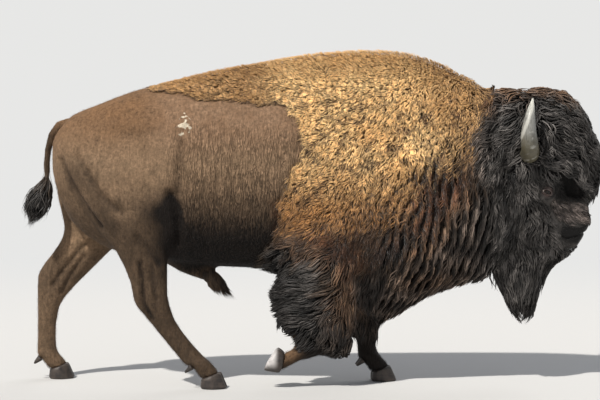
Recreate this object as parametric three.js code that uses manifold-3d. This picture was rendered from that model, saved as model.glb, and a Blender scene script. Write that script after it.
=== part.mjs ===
// American bison bull, walking, as a still life-size model.
// Millimetres. +Z is up, +X is the way the animal faces, and its right side is towards -Y.
// It is modelled whole, from lofts through named stations, and then parted with thin cuts.
import * as THREE from "three";
import { mergeVertices } from "three/addons/utils/BufferGeometryUtils.js";
import Module from "manifold-3d";

const wasm = await Module();
wasm.setup();

// ---- driving dimensions -------------------------------------------------------------------

const GAP = 0.5; // width of every parting cut
const BODY_SIDES = 22; // facets round the trunk
const HEAD_SIDES = 18;
const LEG_SIDES = 11;
const FAR = 4000; // longer than the animal, for cutting blocks

// Trunk and neck, as sections across the body. belt is the height of the widest point; ridge and
// keel are the roundness of the upper and lower half: 2 is an ellipse, and less is more pointed.
const TRUNK = [
  { x: -1322, top: 1300, bottom: 1120, half: 45, belt: 1215, ridge: 2.0, keel: 2.0 },
  { x: -1290, top: 1362, bottom: 1000, half: 120, belt: 1200, ridge: 2.1, keel: 2.0 },
  { x: -1220, top: 1434, bottom: 860, half: 195, belt: 1180, ridge: 2.2, keel: 2.1 },
  { x: -1080, top: 1492, bottom: 745, half: 250, belt: 1170, ridge: 2.3, keel: 2.2 },
  { x: -900, top: 1563, bottom: 680, half: 280, belt: 1140, ridge: 2.15, keel: 2.3 },
  { x: -700, top: 1620, bottom: 642, half: 298, belt: 1080, ridge: 2.0, keel: 2.3 },
  { x: -450, top: 1683, bottom: 622, half: 325, belt: 1030, ridge: 1.9, keel: 2.2 },
  { x: -200, top: 1728, bottom: 612, half: 348, belt: 1010, ridge: 1.75, keel: 2.1 },
  { x: 0, top: 1765, bottom: 575, half: 352, belt: 1020, ridge: 1.64, keel: 2.0 },
  { x: 200, top: 1786, bottom: 480, half: 348, belt: 1040, ridge: 1.57, keel: 1.85 },
  { x: 400, top: 1792, bottom: 330, half: 335, belt: 1050, ridge: 1.54, keel: 1.65 },
  { x: 545, top: 1782, bottom: 365, half: 318, belt: 1050, ridge: 1.56, keel: 1.75 },
  { x: 700, top: 1742, bottom: 468, half: 296, belt: 1050, ridge: 1.6, keel: 1.85 },
  { x: 850, top: 1672, bottom: 535, half: 272, belt: 1040, ridge: 1.75, keel: 1.95 },
  { x: 1000, top: 1583, bottom: 575, half: 250, belt: 1030, ridge: 1.9, keel: 2.0 },
  { x: 1100, top: 1500, bottom: 640, half: 215, belt: 1030, ridge: 2.0, keel: 2.0 },
  { x: 1180, top: 1360, bottom: 780, half: 130, belt: 1050, ridge: 2.0, keel: 2.0 },
];

// Head, as level slices. back and front are along X; cheek, mid and nose are half-widths at the
// back quarter, the middle and the front quarter of the slice.
const HEAD = [
  { z: 1592, back: 1200, front: 1310, cheek: 25, mid: 30, nose: 25 },
  { z: 1578, back: 1120, front: 1380, cheek: 90, mid: 100, nose: 88 },
  { z: 1545, back: 1060, front: 1445, cheek: 145, mid: 158, nose: 142 },
  { z: 1480, back: 1000, front: 1515, cheek: 195, mid: 208, nose: 184 },
  { z: 1400, back: 972, front: 1560, cheek: 222, mid: 232, nose: 206 },
  { z: 1300, back: 960, front: 1596, cheek: 232, mid: 238, nose: 212 },
  { z: 1200, back: 960, front: 1617, cheek: 232, mid: 230, nose: 206 },
  { z: 1125, back: 965, front: 1622, cheek: 226, mid: 206, nose: 184 },
  { z: 1068, back: 972, front: 1615, cheek: 218, mid: 172, nose: 152 },
  { z: 1020, back: 980, front: 1598, cheek: 210, mid: 150, nose: 112 },
  { z: 985, back: 990, front: 1552, cheek: 204, mid: 144, nose: 88 },
  { z: 930, back: 1000, front: 1547, cheek: 200, mid: 138, nose: 80 },
  { z: 865, back: 1010, front: 1564, cheek: 186, mid: 128, nose: 80 },
  { z: 825, back: 1020, front: 1543, cheek: 174, mid: 121, nose: 82 },
  { z: 785, back: 1032, front: 1521, cheek: 160, mid: 113, nose: 84 },
  { z: 740, back: 1050, front: 1494, cheek: 140, mid: 99, nose: 78 },
  { z: 690, back: 1078, front: 1458, cheek: 116, mid: 86, nose: 66 },
  { z: 652, back: 1120, front: 1400, cheek: 82, mid: 66, nose: 48 },
  { z: 638, back: 1180, front: 1330, cheek: 40, mid: 35, nose: 25 },
];

// Each leg, as level slices. rear and front are along X, and inner and outer are distances from
// the midline. The long hair of the forelegs is part of the outline.
const HIND_RIGHT = [
  { z: 1330, rear: -1130, front: -820, inner: 60, outer: 190 },
  { z: 1270, rear: -1205, front: -735, inner: 50, outer: 238 },
  { z: 1190, rear: -1240, front: -665, inner: 45, outer: 270 },
  { z: 1090, rear: -1212, front: -628, inner: 45, outer: 290 },
  { z: 994, rear: -1171, front: -624, inner: 50, outer: 300 },
  { z: 900, rear: -1116, front: -650, inner: 62, outer: 300 },
  { z: 820, rear: -1058, front: -674, inner: 82, outer: 286 },
  { z: 732, rear: -980, front: -688, inner: 108, outer: 272 },
  { z: 640, rear: -930, front: -690, inner: 128, outer: 262 },
  { z: 545, rear: -894, front: -690, inner: 140, outer: 252 },
  { z: 480, rear: -886, front: -690, inner: 146, outer: 250 },
  { z: 432, rear: -868, front: -680, inner: 148, outer: 250 },
  { z: 360, rear: -806, front: -655, inner: 152, outer: 246 },
  { z: 290, rear: -750, front: -610, inner: 158, outer: 240 },
  { z: 215, rear: -690, front: -548, inner: 160, outer: 238 },
  { z: 150, rear: -636, front: -488, inner: 155, outer: 245 },
  { z: 112, rear: -600, front: -456, inner: 162, outer: 262 },
];
const HIND_LEFT = [
  { z: 1330, rear: -1130, front: -820, inner: 60, outer: 190 },
  { z: 1270, rear: -1240, front: -735, inner: 50, outer: 238 },
  { z: 1180, rear: -1318, front: -665, inner: 45, outer: 268 },
  { z: 1080, rear: -1340, front: -650, inner: 45, outer: 288 },
  { z: 990, rear: -1330, front: -690, inner: 48, outer: 294 },
  { z: 900, rear: -1306, front: -770, inner: 55, outer: 290 },
  { z: 815, rear: -1288, front: -875, inner: 66, outer: 270 },
  { z: 755, rear: -1306, front: -960, inner: 80, outer: 252 },
  { z: 690, rear: -1350, front: -1034, inner: 92, outer: 240 },
  { z: 620, rear: -1405, front: -1104, inner: 104, outer: 230 },
  { z: 575, rear: -1432, front: -1150, inner: 110, outer: 224 },
  { z: 510, rear: -1438, front: -1216, inner: 112, outer: 220 },
  { z: 450, rear: -1437, front: -1272, inner: 114, outer: 218 },
  { z: 395, rear: -1435, front: -1308, inner: 116, outer: 212 },
  { z: 310, rear: -1435, front: -1324, inner: 122, outer: 204 },
  { z: 210, rear: -1436, front: -1328, inner: 124, outer: 202 },
  { z: 150, rear: -1440, front: -1322, inner: 118, outer: 208 },
  { z: 112, rear: -1440, front: -1304, inner: 114, outer: 214 },
];
const FORE_RIGHT = [
  { z: 980, rear: 20, front: 300, inner: 120, outer: 300 },
  { z: 900, rear: -70, front: 345, inner: 95, outer: 345 },
  { z: 800, rear: -112, front: 352, inner: 85, outer: 358 },
  { z: 720, rear: -122, front: 345, inner: 85, outer: 352 },
  { z: 640, rear: -100, front: 338, inner: 88, outer: 342 },
  { z: 590, rear: -108, front: 334, inner: 90, outer: 334 },
  { z: 535, rear: -150, front: 328, inner: 92, outer: 326 },
  { z: 470, rear: -148, front: 318, inner: 96, outer: 316 },
  { z: 390, rear: -124, front: 308, inner: 102, outer: 304 },
  { z: 300, rear: -86, front: 302, inner: 112, outer: 288 },
  { z: 235, rear: -20, front: 298, inner: 124, outer: 272 },
  { z: 185, rear: 90, front: 284, inner: 142, outer: 252 },
  { z: 160, rear: 150, front: 262, inner: 160, outer: 236 },
];
const FORE_LEFT = [
  { z: 940, rear: 90, front: 400, inner: 120, outer: 300 },
  { z: 860, rear: 20, front: 445, inner: 90, outer: 345 },
  { z: 760, rear: 0, front: 452, inner: 70, outer: 350 },
  { z: 660, rear: 10, front: 450, inner: 55, outer: 330 },
  { z: 550, rear: 40, front: 448, inner: 38, outer: 290 },
  { z: 440, rear: 90, front: 442, inner: 22, outer: 250 },
  { z: 360, rear: 150, front: 432, inner: 16, outer: 216 },
  { z: 305, rear: 220, front: 424, inner: 20, outer: 180 },
  { z: 262, rear: 290, front: 418, inner: 30, outer: 150 },
  { z: 200, rear: 306, front: 412, inner: 38, outer: 136 },
  { z: 150, rear: 308, front: 424, inner: 34, outer: 142 },
  { z: 112, rear: 312, front: 446, inner: 8, outer: 120 },
];

// The beard, as level slices too.
const BEARD = [
  { z: 760, back: 1060, front: 1300, half: 92 },
  { z: 690, back: 1032, front: 1312, half: 96 },
  { z: 630, back: 1030, front: 1308, half: 92 },
  { z: 560, back: 1056, front: 1298, half: 82 },
  { z: 490, back: 1086, front: 1287, half: 68 },
  { z: 425, back: 1118, front: 1266, half: 50 },
  { z: 375, back: 1152, front: 1236, half: 28 },
  { z: 350, back: 1178, front: 1212, half: 10 },
];

// A cloven foot, in its own frame: origin in the middle of the sole, toe towards +X.
const FOOT = {
  claw: 142, // length of one claw along the sole
  wide: 64, // from the cleft to the outer wall
  inner: 14, // from the cleft to the claw's middle line
  cleft: 5, // half the gap between the two claws
  toe: 78, // height of the wall at the toe and at the heel
  heel: 44,
  slope: 36, // how far the wall leans back from the sole to the coronet
  bevel: 4, // how far the sole's edge is rounded in
};
const FEET = {
  hind_right: { x: -452, y: -222, z: 0, turn: -4, pitch: 0 },
  hind_left: { x: -1300, y: 164, z: 0, turn: 5, pitch: 0 },
  fore_right: { x: -158, y: -205, z: 157, turn: 0, pitch: 123 }, // lifted behind the bent knee
  fore_left: { x: 452, y: 64, z: 0, turn: 3, pitch: 0 },
};
const FETLOCK = { standing: { back: -66, high: 150 }, lifted: { back: -100, high: 132 } };
const DEWCLAW = { x: -132, z: 100, apart: 30, radius: 17, tip: 6, length: 46, droop: -130 };
const LIFTED_SHIN = {
  path: [[230, -205, 262], [160, -205, 236], [90, -205, 214], [30, -205, 198], [-20, -205, 186]],
  radii: [60, 52, 46, 52, 44],
};

const HORN = {
  path: [
    [1205, 120, 1228], [1203, 215, 1236], [1194, 290, 1268], [1183, 325, 1335],
    [1187, 328, 1405], [1197, 310, 1468], [1208, 284, 1521],
  ],
  radii: [48, 48, 46, 41, 31, 18, 4],
};
const EYE = { x: 1305, y: 136, z: 1028, radius: 21 };
const EAR = { x: 1078, y: 205, z: 1118, length: 150, wide: 92, thick: 30, rise: 24, sweep: 38 };
const SCROTUM = { x: -805, z: 655, long: 68, wide: 56, high: 92 };
const SHEATH = {
  path: [[-690, 0, 700], [-600, 0, 640], [-510, 0, 592], [-438, 0, 548], [-392, 0, 508]],
  radii: [70, 62, 46, 30, 9],
};
const TAIL = {
  path: [
    [-1225, 0, 1380], [-1285, 4, 1372], [-1325, 8, 1325],
    [-1348, 12, 1250], [-1356, 14, 1175], [-1354, 14, 1110],
  ],
  radii: [44, 33, 24, 19, 18, 20],
};
const TUFT = {
  path: [[-1354, 14, 1112], [-1364, 12, 1050], [-1382, 8, 985], [-1402, 4, 925], [-1412, 2, 882]],
  radii: [21, 44, 56, 38, 9],
};

// Where the body is parted: a point on each plane, and the normal of the plane.
const CUTS = {
  waist: { at: [-150, 0, 1000], normal: [1, 0, 0.12] },
  neck: { at: [660, 0, 1100], normal: [1, 0, 0.25] },
  head: { at: [1010, 0, 1100], normal: [1, 0, 0.08] },
  beard: { at: [1180, 0, 640], normal: [0.1, 0, -1] },
  sheath: { at: [-560, 0, 606], normal: [0.25, 0, -1] },
  tuft: { at: TUFT.path[0], normal: [0, 0, -1] },
  hind_right: { at: [-780, -200, 455], normal: [0.5, 0, -1] },
  hind_left: { at: [-1360, 170, 470], normal: [0.3, 0, -1] },
  fore_right: { at: [40, -205, 258], normal: [-0.55, 0, -0.83] },
  fore_left: { at: [350, 100, 300], normal: [0, 0, -1] },
};

// Outlines in XZ inside which the body belongs to a leg. shift moves one along X.
const haunch = (shift) => [
  [-1700, -200], [-300, -200], [-640 + shift / 2, 560], [-612 + shift / 2, 760],
  [-600 + shift / 3, 900], [-630, 1060], [-710, 1190], [-830, 1275], [-980, 1300],
  [-1120, 1270], [-1240, 1190], [-1320, 1080], [-1400, 900], [-1700, 700],
];
const shoulder = (shift) => [
  [-190 + shift, -200], [420 + shift, -200], [400 + shift, 420], [404 + shift, 640],
  [376 + shift, 780], [310 + shift, 880], [200 + shift, 930], [90 + shift, 912],
  [-20 + shift, 860], [-120 + shift, 780], [-175 + shift, 680],
];

// Each leg: its slices, the outline it is parted along, how far off the midline that cut starts,
// and its side of the body, -1 for the right.
const LEGS = {
  hind_right: { rows: HIND_RIGHT, outline: haunch(0), from: 34, side: -1 },
  hind_left: { rows: HIND_LEFT, outline: haunch(-60), from: 34, side: 1 },
  fore_right: { rows: FORE_RIGHT, outline: shoulder(0), from: 76, side: -1 },
  fore_left: { rows: FORE_LEFT, outline: shoulder(90), from: 12, side: 1 },
};

const FINISH = {
  cape: { color: 0xb07c42, roughness: 0.9 },
  rump: { color: 0x57473a, roughness: 0.9 },
  dark_wool: { color: 0x2c2522, roughness: 0.9 },
  shin: { color: 0x3f342c, roughness: 0.9 },
  horn: { color: 0x8b887c, roughness: 0.45 },
  hoof: { color: 0x6e6a64, roughness: 0.6 },
  eye: { color: 0x1a100b, roughness: 0.1 },
};

// ---- small helpers ------------------------------------------------------------------------

// Rows of numbers between the given ones, on a smooth curve, with the first key as the parameter.
function smoothRows(rows, steps) {
  const keys = Object.keys(rows[0]);
  const along = keys[0];
  const slope = (i, key) => {
    const a = rows[Math.max(0, i - 1)];
    const b = rows[Math.min(rows.length - 1, i + 1)];
    return (b[key] - a[key]) / (b[along] - a[along]);
  };
  const out = [];
  for (let i = 0; i + 1 < rows.length; i++) {
    const span = rows[i + 1][along] - rows[i][along];
    for (let k = 0; k < steps; k++) {
      const t = k / steps;
      const row = {};
      for (const key of keys) {
        row[key] =
          (2 * t ** 3 - 3 * t ** 2 + 1) * rows[i][key] +
          (t ** 3 - 2 * t ** 2 + t) * span * slope(i, key) +
          (3 * t ** 2 - 2 * t ** 3) * rows[i + 1][key] +
          (t ** 3 - t ** 2) * span * slope(i + 1, key);
      }
      out.push(row);
    }
  }
  out.push({ ...rows[rows.length - 1] });
  return out;
}

const power = (value, exponent) => Math.sign(value) * Math.abs(value) ** exponent;

// A closed skin through rings of equally many points, with a fan at each end.
function skinned(rings) {
  const n = rings[0].length;
  const points = rings.flat();
  const middle = (ring) => ring.reduce((sum, p) => sum.add(p), new THREE.Vector3()).divideScalar(n);
  points.push(middle(rings[0]), middle(rings[rings.length - 1]));
  const [first, last] = [points.length - 2, points.length - 1];
  const faces = [];
  for (let k = 0; k < n; k++) {
    const next = (k + 1) % n;
    for (let i = 0; i + 1 < rings.length; i++) {
      const [a, b, c, d] = [i * n + k, i * n + next, (i + 1) * n + next, (i + 1) * n + k];
      faces.push(a, b, c, a, c, d);
    }
    const end = (rings.length - 1) * n;
    faces.push(first, next, k, last, end + k, end + next);
  }
  let volume = 0;
  for (let i = 0; i < faces.length; i += 3) {
    const [a, b, c] = [points[faces[i]], points[faces[i + 1]], points[faces[i + 2]]];
    volume += a.dot(new THREE.Vector3().crossVectors(b, c));
  }
  if (volume < 0) faces.reverse();
  const geometry = new THREE.BufferGeometry().setFromPoints(points);
  return geometry.setIndex(faces);
}

// A closed geometry as a manifold-3d solid, and a solid as a geometry.
function solid(geometry) {
  const bare = geometry.clone();
  bare.deleteAttribute("normal");
  bare.deleteAttribute("uv");
  const merged = mergeVertices(bare, 1e-3);
  return new wasm.Manifold(
    new wasm.Mesh({
      numProp: 3,
      vertProperties: new Float32Array(merged.attributes.position.array),
      triVerts: new Uint32Array(merged.index.array),
    }),
  );
}

function geometryOf(manifold) {
  const mesh = manifold.getMesh();
  const geometry = new THREE.BufferGeometry();
  geometry.setAttribute("position", new THREE.BufferAttribute(mesh.vertProperties, 3));
  geometry.setIndex(new THREE.BufferAttribute(mesh.triVerts, 1));
  geometry.computeVertexNormals();
  return geometry;
}

// A round tube along a smooth path, with its own radius at each point. side mirrors it in Y, grow
// makes it larger all round, and flat is a direction that the path never runs along.
function tube({ path, radii }, { sides = 12, side = 1, grow = 0, flat = [0, 1, 0] } = {}) {
  const curve = new THREE.CatmullRomCurve3(path.map(([x, y, z]) => new THREE.Vector3(x, side * y, z)));
  const last = radii.length - 1;
  const rings = radii.map((radius, i) => {
    const ahead = curve.getTangent(i / last);
    const end = i === 0 ? -grow : i === last ? grow : 0;
    const centre = curve.getPoint(i / last).addScaledVector(ahead, end);
    const across = new THREE.Vector3().crossVectors(ahead, new THREE.Vector3(...flat)).normalize();
    const over = new THREE.Vector3().crossVectors(across, ahead);
    return Array.from({ length: sides }, (_, k) => {
      const angle = (2 * Math.PI * k) / sides;
      return centre
        .clone()
        .addScaledVector(across, (radius + grow) * Math.cos(angle))
        .addScaledVector(over, (radius + grow) * Math.sin(angle));
    });
  });
  return solid(skinned(rings));
}

// Everything on the side of a plane that its normal points to, or the other side with way -1,
// half a gap clear of the plane.
function beyond({ at, normal }, way = 1, gap = GAP) {
  const direction = new THREE.Vector3(...normal).normalize().multiplyScalar(way);
  const block = new THREE.BoxGeometry(FAR, FAR, FAR);
  const turn = new THREE.Quaternion().setFromUnitVectors(new THREE.Vector3(1, 0, 0), direction);
  const centre = new THREE.Vector3(...at).addScaledVector(direction, FAR / 2 + gap / 2);
  block.applyMatrix4(new THREE.Matrix4().compose(centre, turn, new THREE.Vector3(1, 1, 1)));
  return solid(block);
}

// An upright block over an outline in the XZ plane, from one distance off the midline to another.
function upright(points, from, to, side, grow = 0) {
  const corners = points.map(([x, z]) => new THREE.Vector2(x, z));
  const n = corners.length;
  const edge = (i) => corners[(i + 1) % n].clone().sub(corners[(i + n) % n]).normalize();
  const turn = THREE.ShapeUtils.isClockWise(corners) ? 1 : -1;
  const moved = corners.map((corner, i) => {
    const bisector = edge(i + n - 1).add(edge(i)).normalize();
    return corner.clone().add(new THREE.Vector2(-bisector.y, bisector.x).multiplyScalar(turn * grow));
  });
  const block = new THREE.ExtrudeGeometry(new THREE.Shape(moved), {
    depth: to - from + grow,
    bevelEnabled: false,
  });
  block.rotateX(Math.PI / 2);
  block.translate(0, side > 0 ? to : grow - from, 0);
  return solid(block);
}

// ---- flesh --------------------------------------------------------------------------------

function bodyRing({ x, top, bottom, half, belt, ridge, keel }) {
  return Array.from({ length: BODY_SIDES }, (_, k) => {
    const angle = (2 * Math.PI * k) / BODY_SIDES;
    const up = Math.sin(angle) >= 0;
    const exponent = 2 / (up ? ridge : keel);
    const rise = up ? top - belt : belt - bottom;
    return new THREE.Vector3(
      x,
      half * power(Math.cos(angle), exponent),
      belt + rise * power(Math.sin(angle), exponent),
    );
  });
}

function headRing({ z, back, front, cheek, mid, nose }) {
  return Array.from({ length: HEAD_SIDES }, (_, k) => {
    const angle = (2 * Math.PI * k) / HEAD_SIDES;
    const along = Math.cos(angle); // -1 at the back, 1 at the front
    const bow = (cheek + nose) / 2 - mid;
    const width = mid + along * (nose - cheek) + 4 * bow * along ** 2;
    const blunt = along > 0 ? 0.84 - 0.22 * along : 0.84;
    const reach = width * power(Math.sin(angle), blunt);
    return new THREE.Vector3((back + front) / 2 + (along * (front - back)) / 2, reach, z);
  });
}

function legRing({ z, rear, front, inner, outer }, side) {
  return Array.from({ length: LEG_SIDES }, (_, k) => {
    const angle = (2 * Math.PI * k) / LEG_SIDES;
    const x = (rear + front) / 2 + ((front - rear) / 2) * power(Math.cos(angle), 0.9);
    const y = (inner + outer) / 2 + ((outer - inner) / 2) * power(Math.sin(angle), 0.9);
    return new THREE.Vector3(x, side * y, z);
  });
}

function beardRing({ z, back, front, half }) {
  const sides = 12;
  return Array.from({ length: sides }, (_, k) => {
    const angle = (2 * Math.PI * k) / sides;
    const x = (back + front) / 2 + ((front - back) / 2) * Math.cos(angle);
    return new THREE.Vector3(x, half * Math.sin(angle), z);
  });
}

function ball(x, y, z, long, wide, high, sides = 12) {
  const geometry = new THREE.SphereGeometry(1, sides, Math.round(sides * 0.7));
  return geometry.scale(long, wide, high).translate(x, y, z);
}

// ---- feet ---------------------------------------------------------------------------------

// Height of the coronet, where skin meets claw, at a distance ahead of the foot's middle.
const coronet = (x) =>
  FOOT.heel + ((FOOT.toe - FOOT.heel) * (x + FOOT.claw / 2)) / (FOOT.claw - FOOT.slope);

// One claw, in the foot's frame, with its outer wall towards side.
function claw(side) {
  const sides = 12;
  const rings = [0, 0.07, 1].map((t) => {
    const bevel = t === 0 ? FOOT.bevel : 0;
    const toe = FOOT.claw / 2 - FOOT.slope * t - bevel;
    const heel = -FOOT.claw / 2 + 4 * t + bevel;
    return Array.from({ length: sides }, (_, k) => {
      const angle = (2 * Math.PI * k) / sides;
      const x = (toe + heel) / 2 + ((toe - heel) / 2) * Math.cos(angle);
      const wide = (FOOT.wide - 8 * t) * (1 - 0.28 * Math.max(0, Math.cos(angle)));
      const wall = Math.sin(angle);
      const outer = FOOT.inner + (wide - FOOT.inner) * power(wall, 0.8);
      const inner = FOOT.inner * (1 - power(-wall, 0.6));
      return new THREE.Vector3(x, side * (FOOT.cleft + (wall > 0 ? outer : inner)), t * (coronet(x) - GAP));
    });
  });
  return solid(skinned(rings));
}

// The skin between the coronet and the fetlock, in the foot's frame.
function pastern({ back, high }) {
  const middle = -FOOT.slope / 2 + 2;
  const rings = [0, 0.35, 0.7, 1].map((t) =>
    Array.from({ length: LEG_SIDES }, (_, k) => {
      const angle = (2 * Math.PI * k) / LEG_SIDES;
      const long = THREE.MathUtils.lerp(FOOT.claw / 2 - FOOT.slope / 2 - 1, 58, t);
      const wide = THREE.MathUtils.lerp(FOOT.wide - 7, 48, Math.sqrt(t));
      const x = middle + long * Math.cos(angle);
      const y = wide * power(Math.sin(angle), 0.8);
      return new THREE.Vector3(x + t * back, y, THREE.MathUtils.lerp(coronet(x), high, t));
    }),
  );
  return solid(skinned(rings));
}

// A dewclaw behind the fetlock, in the foot's frame: a short blunt cone.
function dewclaw(side, grow = 0) {
  const length = DEWCLAW.length + 2 * grow;
  const cone = new THREE.CylinderGeometry(DEWCLAW.tip + grow, DEWCLAW.radius + grow, length, 8);
  cone.rotateX(Math.PI / 2);
  cone.rotateY(THREE.MathUtils.degToRad(DEWCLAW.droop));
  cone.translate(DEWCLAW.x, side * DEWCLAW.apart, DEWCLAW.z);
  return solid(cone);
}

// ---- the whole animal ---------------------------------------------------------------------

const group = new THREE.Group();
const feet = {};
for (const [name, { x, y, z, turn, pitch }] of Object.entries(FEET)) {
  const foot = new THREE.Group();
  foot.position.set(x, y, z);
  foot.rotation.set(0, THREE.MathUtils.degToRad(pitch), THREE.MathUtils.degToRad(turn));
  foot.updateMatrix();
  group.add(foot);
  feet[name] = foot;
}
const atFoot = (name, manifold) => manifold.transform(feet[name].matrix.toArray());

function leg(name) {
  const { rows, side } = LEGS[name];
  const fetlock = name === "fore_right" ? FETLOCK.lifted : FETLOCK.standing;
  const upper = solid(skinned(rows.map((row) => legRing(row, side))));
  const whole = upper.add(atFoot(name, pastern(fetlock)));
  return name === "fore_right" ? whole.add(tube(LIFTED_SHIN, { sides: LEG_SIDES })) : whole;
}

const horn = (side, grow = 0) => tube(HORN, { sides: 10, side, grow, flat: [1, 0, 0] });
const dock = (grow = 0) => tube(TAIL, { sides: 10, grow });
const eye = (side, grow = 0) => {
  const radius = EYE.radius + grow;
  return solid(ball(EYE.x, side * EYE.y, EYE.z, radius, radius, radius));
};
const ear = (side, grow = 0) => {
  const { length, wide, thick } = EAR;
  const leaf = ball(-length / 3, 0, 0, length / 2 + grow, thick / 2 + grow, wide / 2 + grow, 8);
  leaf.rotateY(THREE.MathUtils.degToRad(-EAR.rise));
  leaf.rotateZ(THREE.MathUtils.degToRad(-side * EAR.sweep));
  return solid(leaf.translate(EAR.x, side * EAR.y, EAR.z));
};

const trunk = solid(skinned(smoothRows(TRUNK, 2).map(bodyRing)));
const skull = solid(skinned(HEAD.map(headRing)));
const beard = solid(skinned(BEARD.map(beardRing)));
const sheath = tube(SHEATH);
const scrotum = solid(ball(SCROTUM.x, 0, SCROTUM.z, SCROTUM.long, SCROTUM.wide, SCROTUM.high, 10));

// ---- its parts ----------------------------------------------------------------------------

function put(parent, name, finish, manifold) {
  const material = new THREE.MeshStandardMaterial({ ...FINISH[finish], metalness: 0 });
  const mesh = new THREE.Mesh(geometryOf(manifold), material);
  mesh.name = name;
  parent.add(mesh);
}

// The largest piece of a cut, as a thin cut can shave off crumbs.
const largest = (manifold) => manifold.decompose().reduce((a, b) => (a.volume() > b.volume() ? a : b));

let body = trunk.add(skull).add(beard).add(sheath).add(scrotum);

// Each leg is parted from the body, and again at the hock or knee. It ends in two claws.
for (const [name, { outline, from, side }] of Object.entries(LEGS)) {
  const inside = upright(outline, from, FAR, side);
  let flesh = body.intersect(inside).add(leg(name).intersect(inside)).subtract(dock(GAP));
  body = body.subtract(upright(outline, from, FAR, side, GAP));
  for (const half of [-1, 1]) {
    const word = half === side ? "outer" : "inner";
    flesh = flesh.subtract(atFoot(name, dewclaw(half, GAP)));
    put(feet[name], `${name}_claw_${word}`, "hoof", claw(half));
    put(feet[name], `${name}_dewclaw_${word}`, "hoof", dewclaw(half));
  }
  const finish = name.startsWith("fore") ? "dark_wool" : "rump";
  put(group, `${name}_upper`, finish, largest(flesh.intersect(beyond(CUTS[name], -1))));
  put(group, `${name}_lower`, "shin", largest(flesh.intersect(beyond(CUTS[name]))));
}

// Horns, ears, eyes and the tail sit in pockets one gap larger than themselves.
body = body.subtract(dock(GAP));
for (const side of [-1, 1]) {
  const word = side < 0 ? "right" : "left";
  body = body.subtract(horn(side, GAP)).subtract(ear(side, GAP)).subtract(eye(side, GAP));
  put(group, `horn_${word}`, "horn", horn(side));
  put(group, `ear_${word}`, "dark_wool", ear(side));
  put(group, `eye_${word}`, "eye", eye(side));
}
put(group, "tail_dock", "rump", dock().intersect(beyond(CUTS.tuft, -1)));
put(group, "tail_tuft", "dark_wool", tube(TUFT).intersect(beyond(CUTS.tuft)));

const front = body.intersect(beyond(CUTS.head));
put(group, "head", "dark_wool", largest(front.intersect(beyond(CUTS.beard, -1))));
put(group, "beard", "dark_wool", largest(front.intersect(beyond(CUTS.beard))));

const hanging = sheath.intersect(beyond(CUTS.sheath));
const rest = body.intersect(beyond(CUTS.head, -1)).subtract(sheath.intersect(beyond(CUTS.sheath, 1, 0)));
put(group, "sheath", "rump", largest(hanging));
put(group, "neck", "cape", largest(rest.intersect(beyond(CUTS.neck))));
const middle = rest.intersect(beyond(CUTS.neck, -1));
put(group, "forequarters", "cape", largest(middle.intersect(beyond(CUTS.waist))));
put(group, "hindquarters", "rump", largest(middle.intersect(beyond(CUTS.waist, -1))));

// The origin is the middle of the animal's box, on the ground.
const box = new THREE.Box3().setFromObject(group);
const centre = box.getCenter(new THREE.Vector3());
group.position.set(-centre.x, -centre.y, -box.min.z);

export default group;
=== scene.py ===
# %% [markdown]
# # An American bison bull, life size
# The bull stands in mid stride. Its solids already say where every part of it is,
# out to the tips of the coat. This script gives them their looks: a skin that lies
# inside the solids by the depth of the coat, and the coat itself as mesh locks.

# %% Load the solids
import math

import bmesh
import bpy
import numpy as np
from mathutils import Matrix, Vector
from mathutils.bvhtree import BVHTree
from mathutils.kdtree import KDTree


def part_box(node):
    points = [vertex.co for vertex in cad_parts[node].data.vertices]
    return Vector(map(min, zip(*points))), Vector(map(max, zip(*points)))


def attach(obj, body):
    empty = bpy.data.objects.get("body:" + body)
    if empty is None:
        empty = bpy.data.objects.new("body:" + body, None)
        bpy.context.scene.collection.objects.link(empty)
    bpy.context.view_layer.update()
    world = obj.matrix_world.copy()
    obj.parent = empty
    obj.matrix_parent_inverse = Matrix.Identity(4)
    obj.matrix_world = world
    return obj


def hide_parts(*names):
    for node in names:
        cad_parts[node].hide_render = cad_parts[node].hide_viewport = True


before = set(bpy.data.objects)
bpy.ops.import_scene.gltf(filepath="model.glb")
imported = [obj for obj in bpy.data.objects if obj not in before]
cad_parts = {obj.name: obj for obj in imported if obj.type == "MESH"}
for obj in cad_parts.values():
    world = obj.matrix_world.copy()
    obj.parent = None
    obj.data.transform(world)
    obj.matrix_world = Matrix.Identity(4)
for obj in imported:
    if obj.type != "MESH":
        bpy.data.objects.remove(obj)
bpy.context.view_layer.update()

chance = np.random.default_rng(11)

# %% From shapes to objects
def link(name, data):
    """A new object in the scene that holds a mesh, a lamp or a camera."""
    made = bpy.data.objects.new(name, data)
    bpy.context.collection.objects.link(made)
    return made


def mesh_of(shape, name):
    """The mesh of a finished shape, which is freed."""
    mesh = bpy.data.meshes.new(name)
    shape.to_mesh(mesh)
    shape.free()
    return mesh


def place_points(mesh, points):
    mesh.vertices.foreach_set("co", points.astype(np.float32).ravel())


# %% [markdown]
# ## Where it is seen from
# A long lens far away keeps the proportions of a large animal true. The camera stands
# ten metres to the right of the body's middle line, higher than the middle of the
# body, and looks very slightly down.

# %% Camera
LENS = 112.2
STAND = (-0.0825, -10, 1.45)
LOOK_DOWN = 2.69
camera = link("camera", bpy.data.cameras.new("camera"))
camera.data.lens, camera.data.clip_end = LENS, 200
camera.location = STAND
camera.rotation_euler = (math.radians(90 - LOOK_DOWN), 0, 0)
bpy.context.scene.camera = camera
bpy.context.scene.view_settings.view_transform = "Standard"
print("lens:", LENS, "mm, at", STAND)

# %% [markdown]
# ## Materials as sums
# A material is a graph of nodes, but it reads best as arithmetic. `Value` wraps the
# output of a node, so that adding or multiplying two of them adds the node that does
# it. `Graph` has a single way of adding every other kind of node, and `Finish` is the
# graph of one material.


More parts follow.
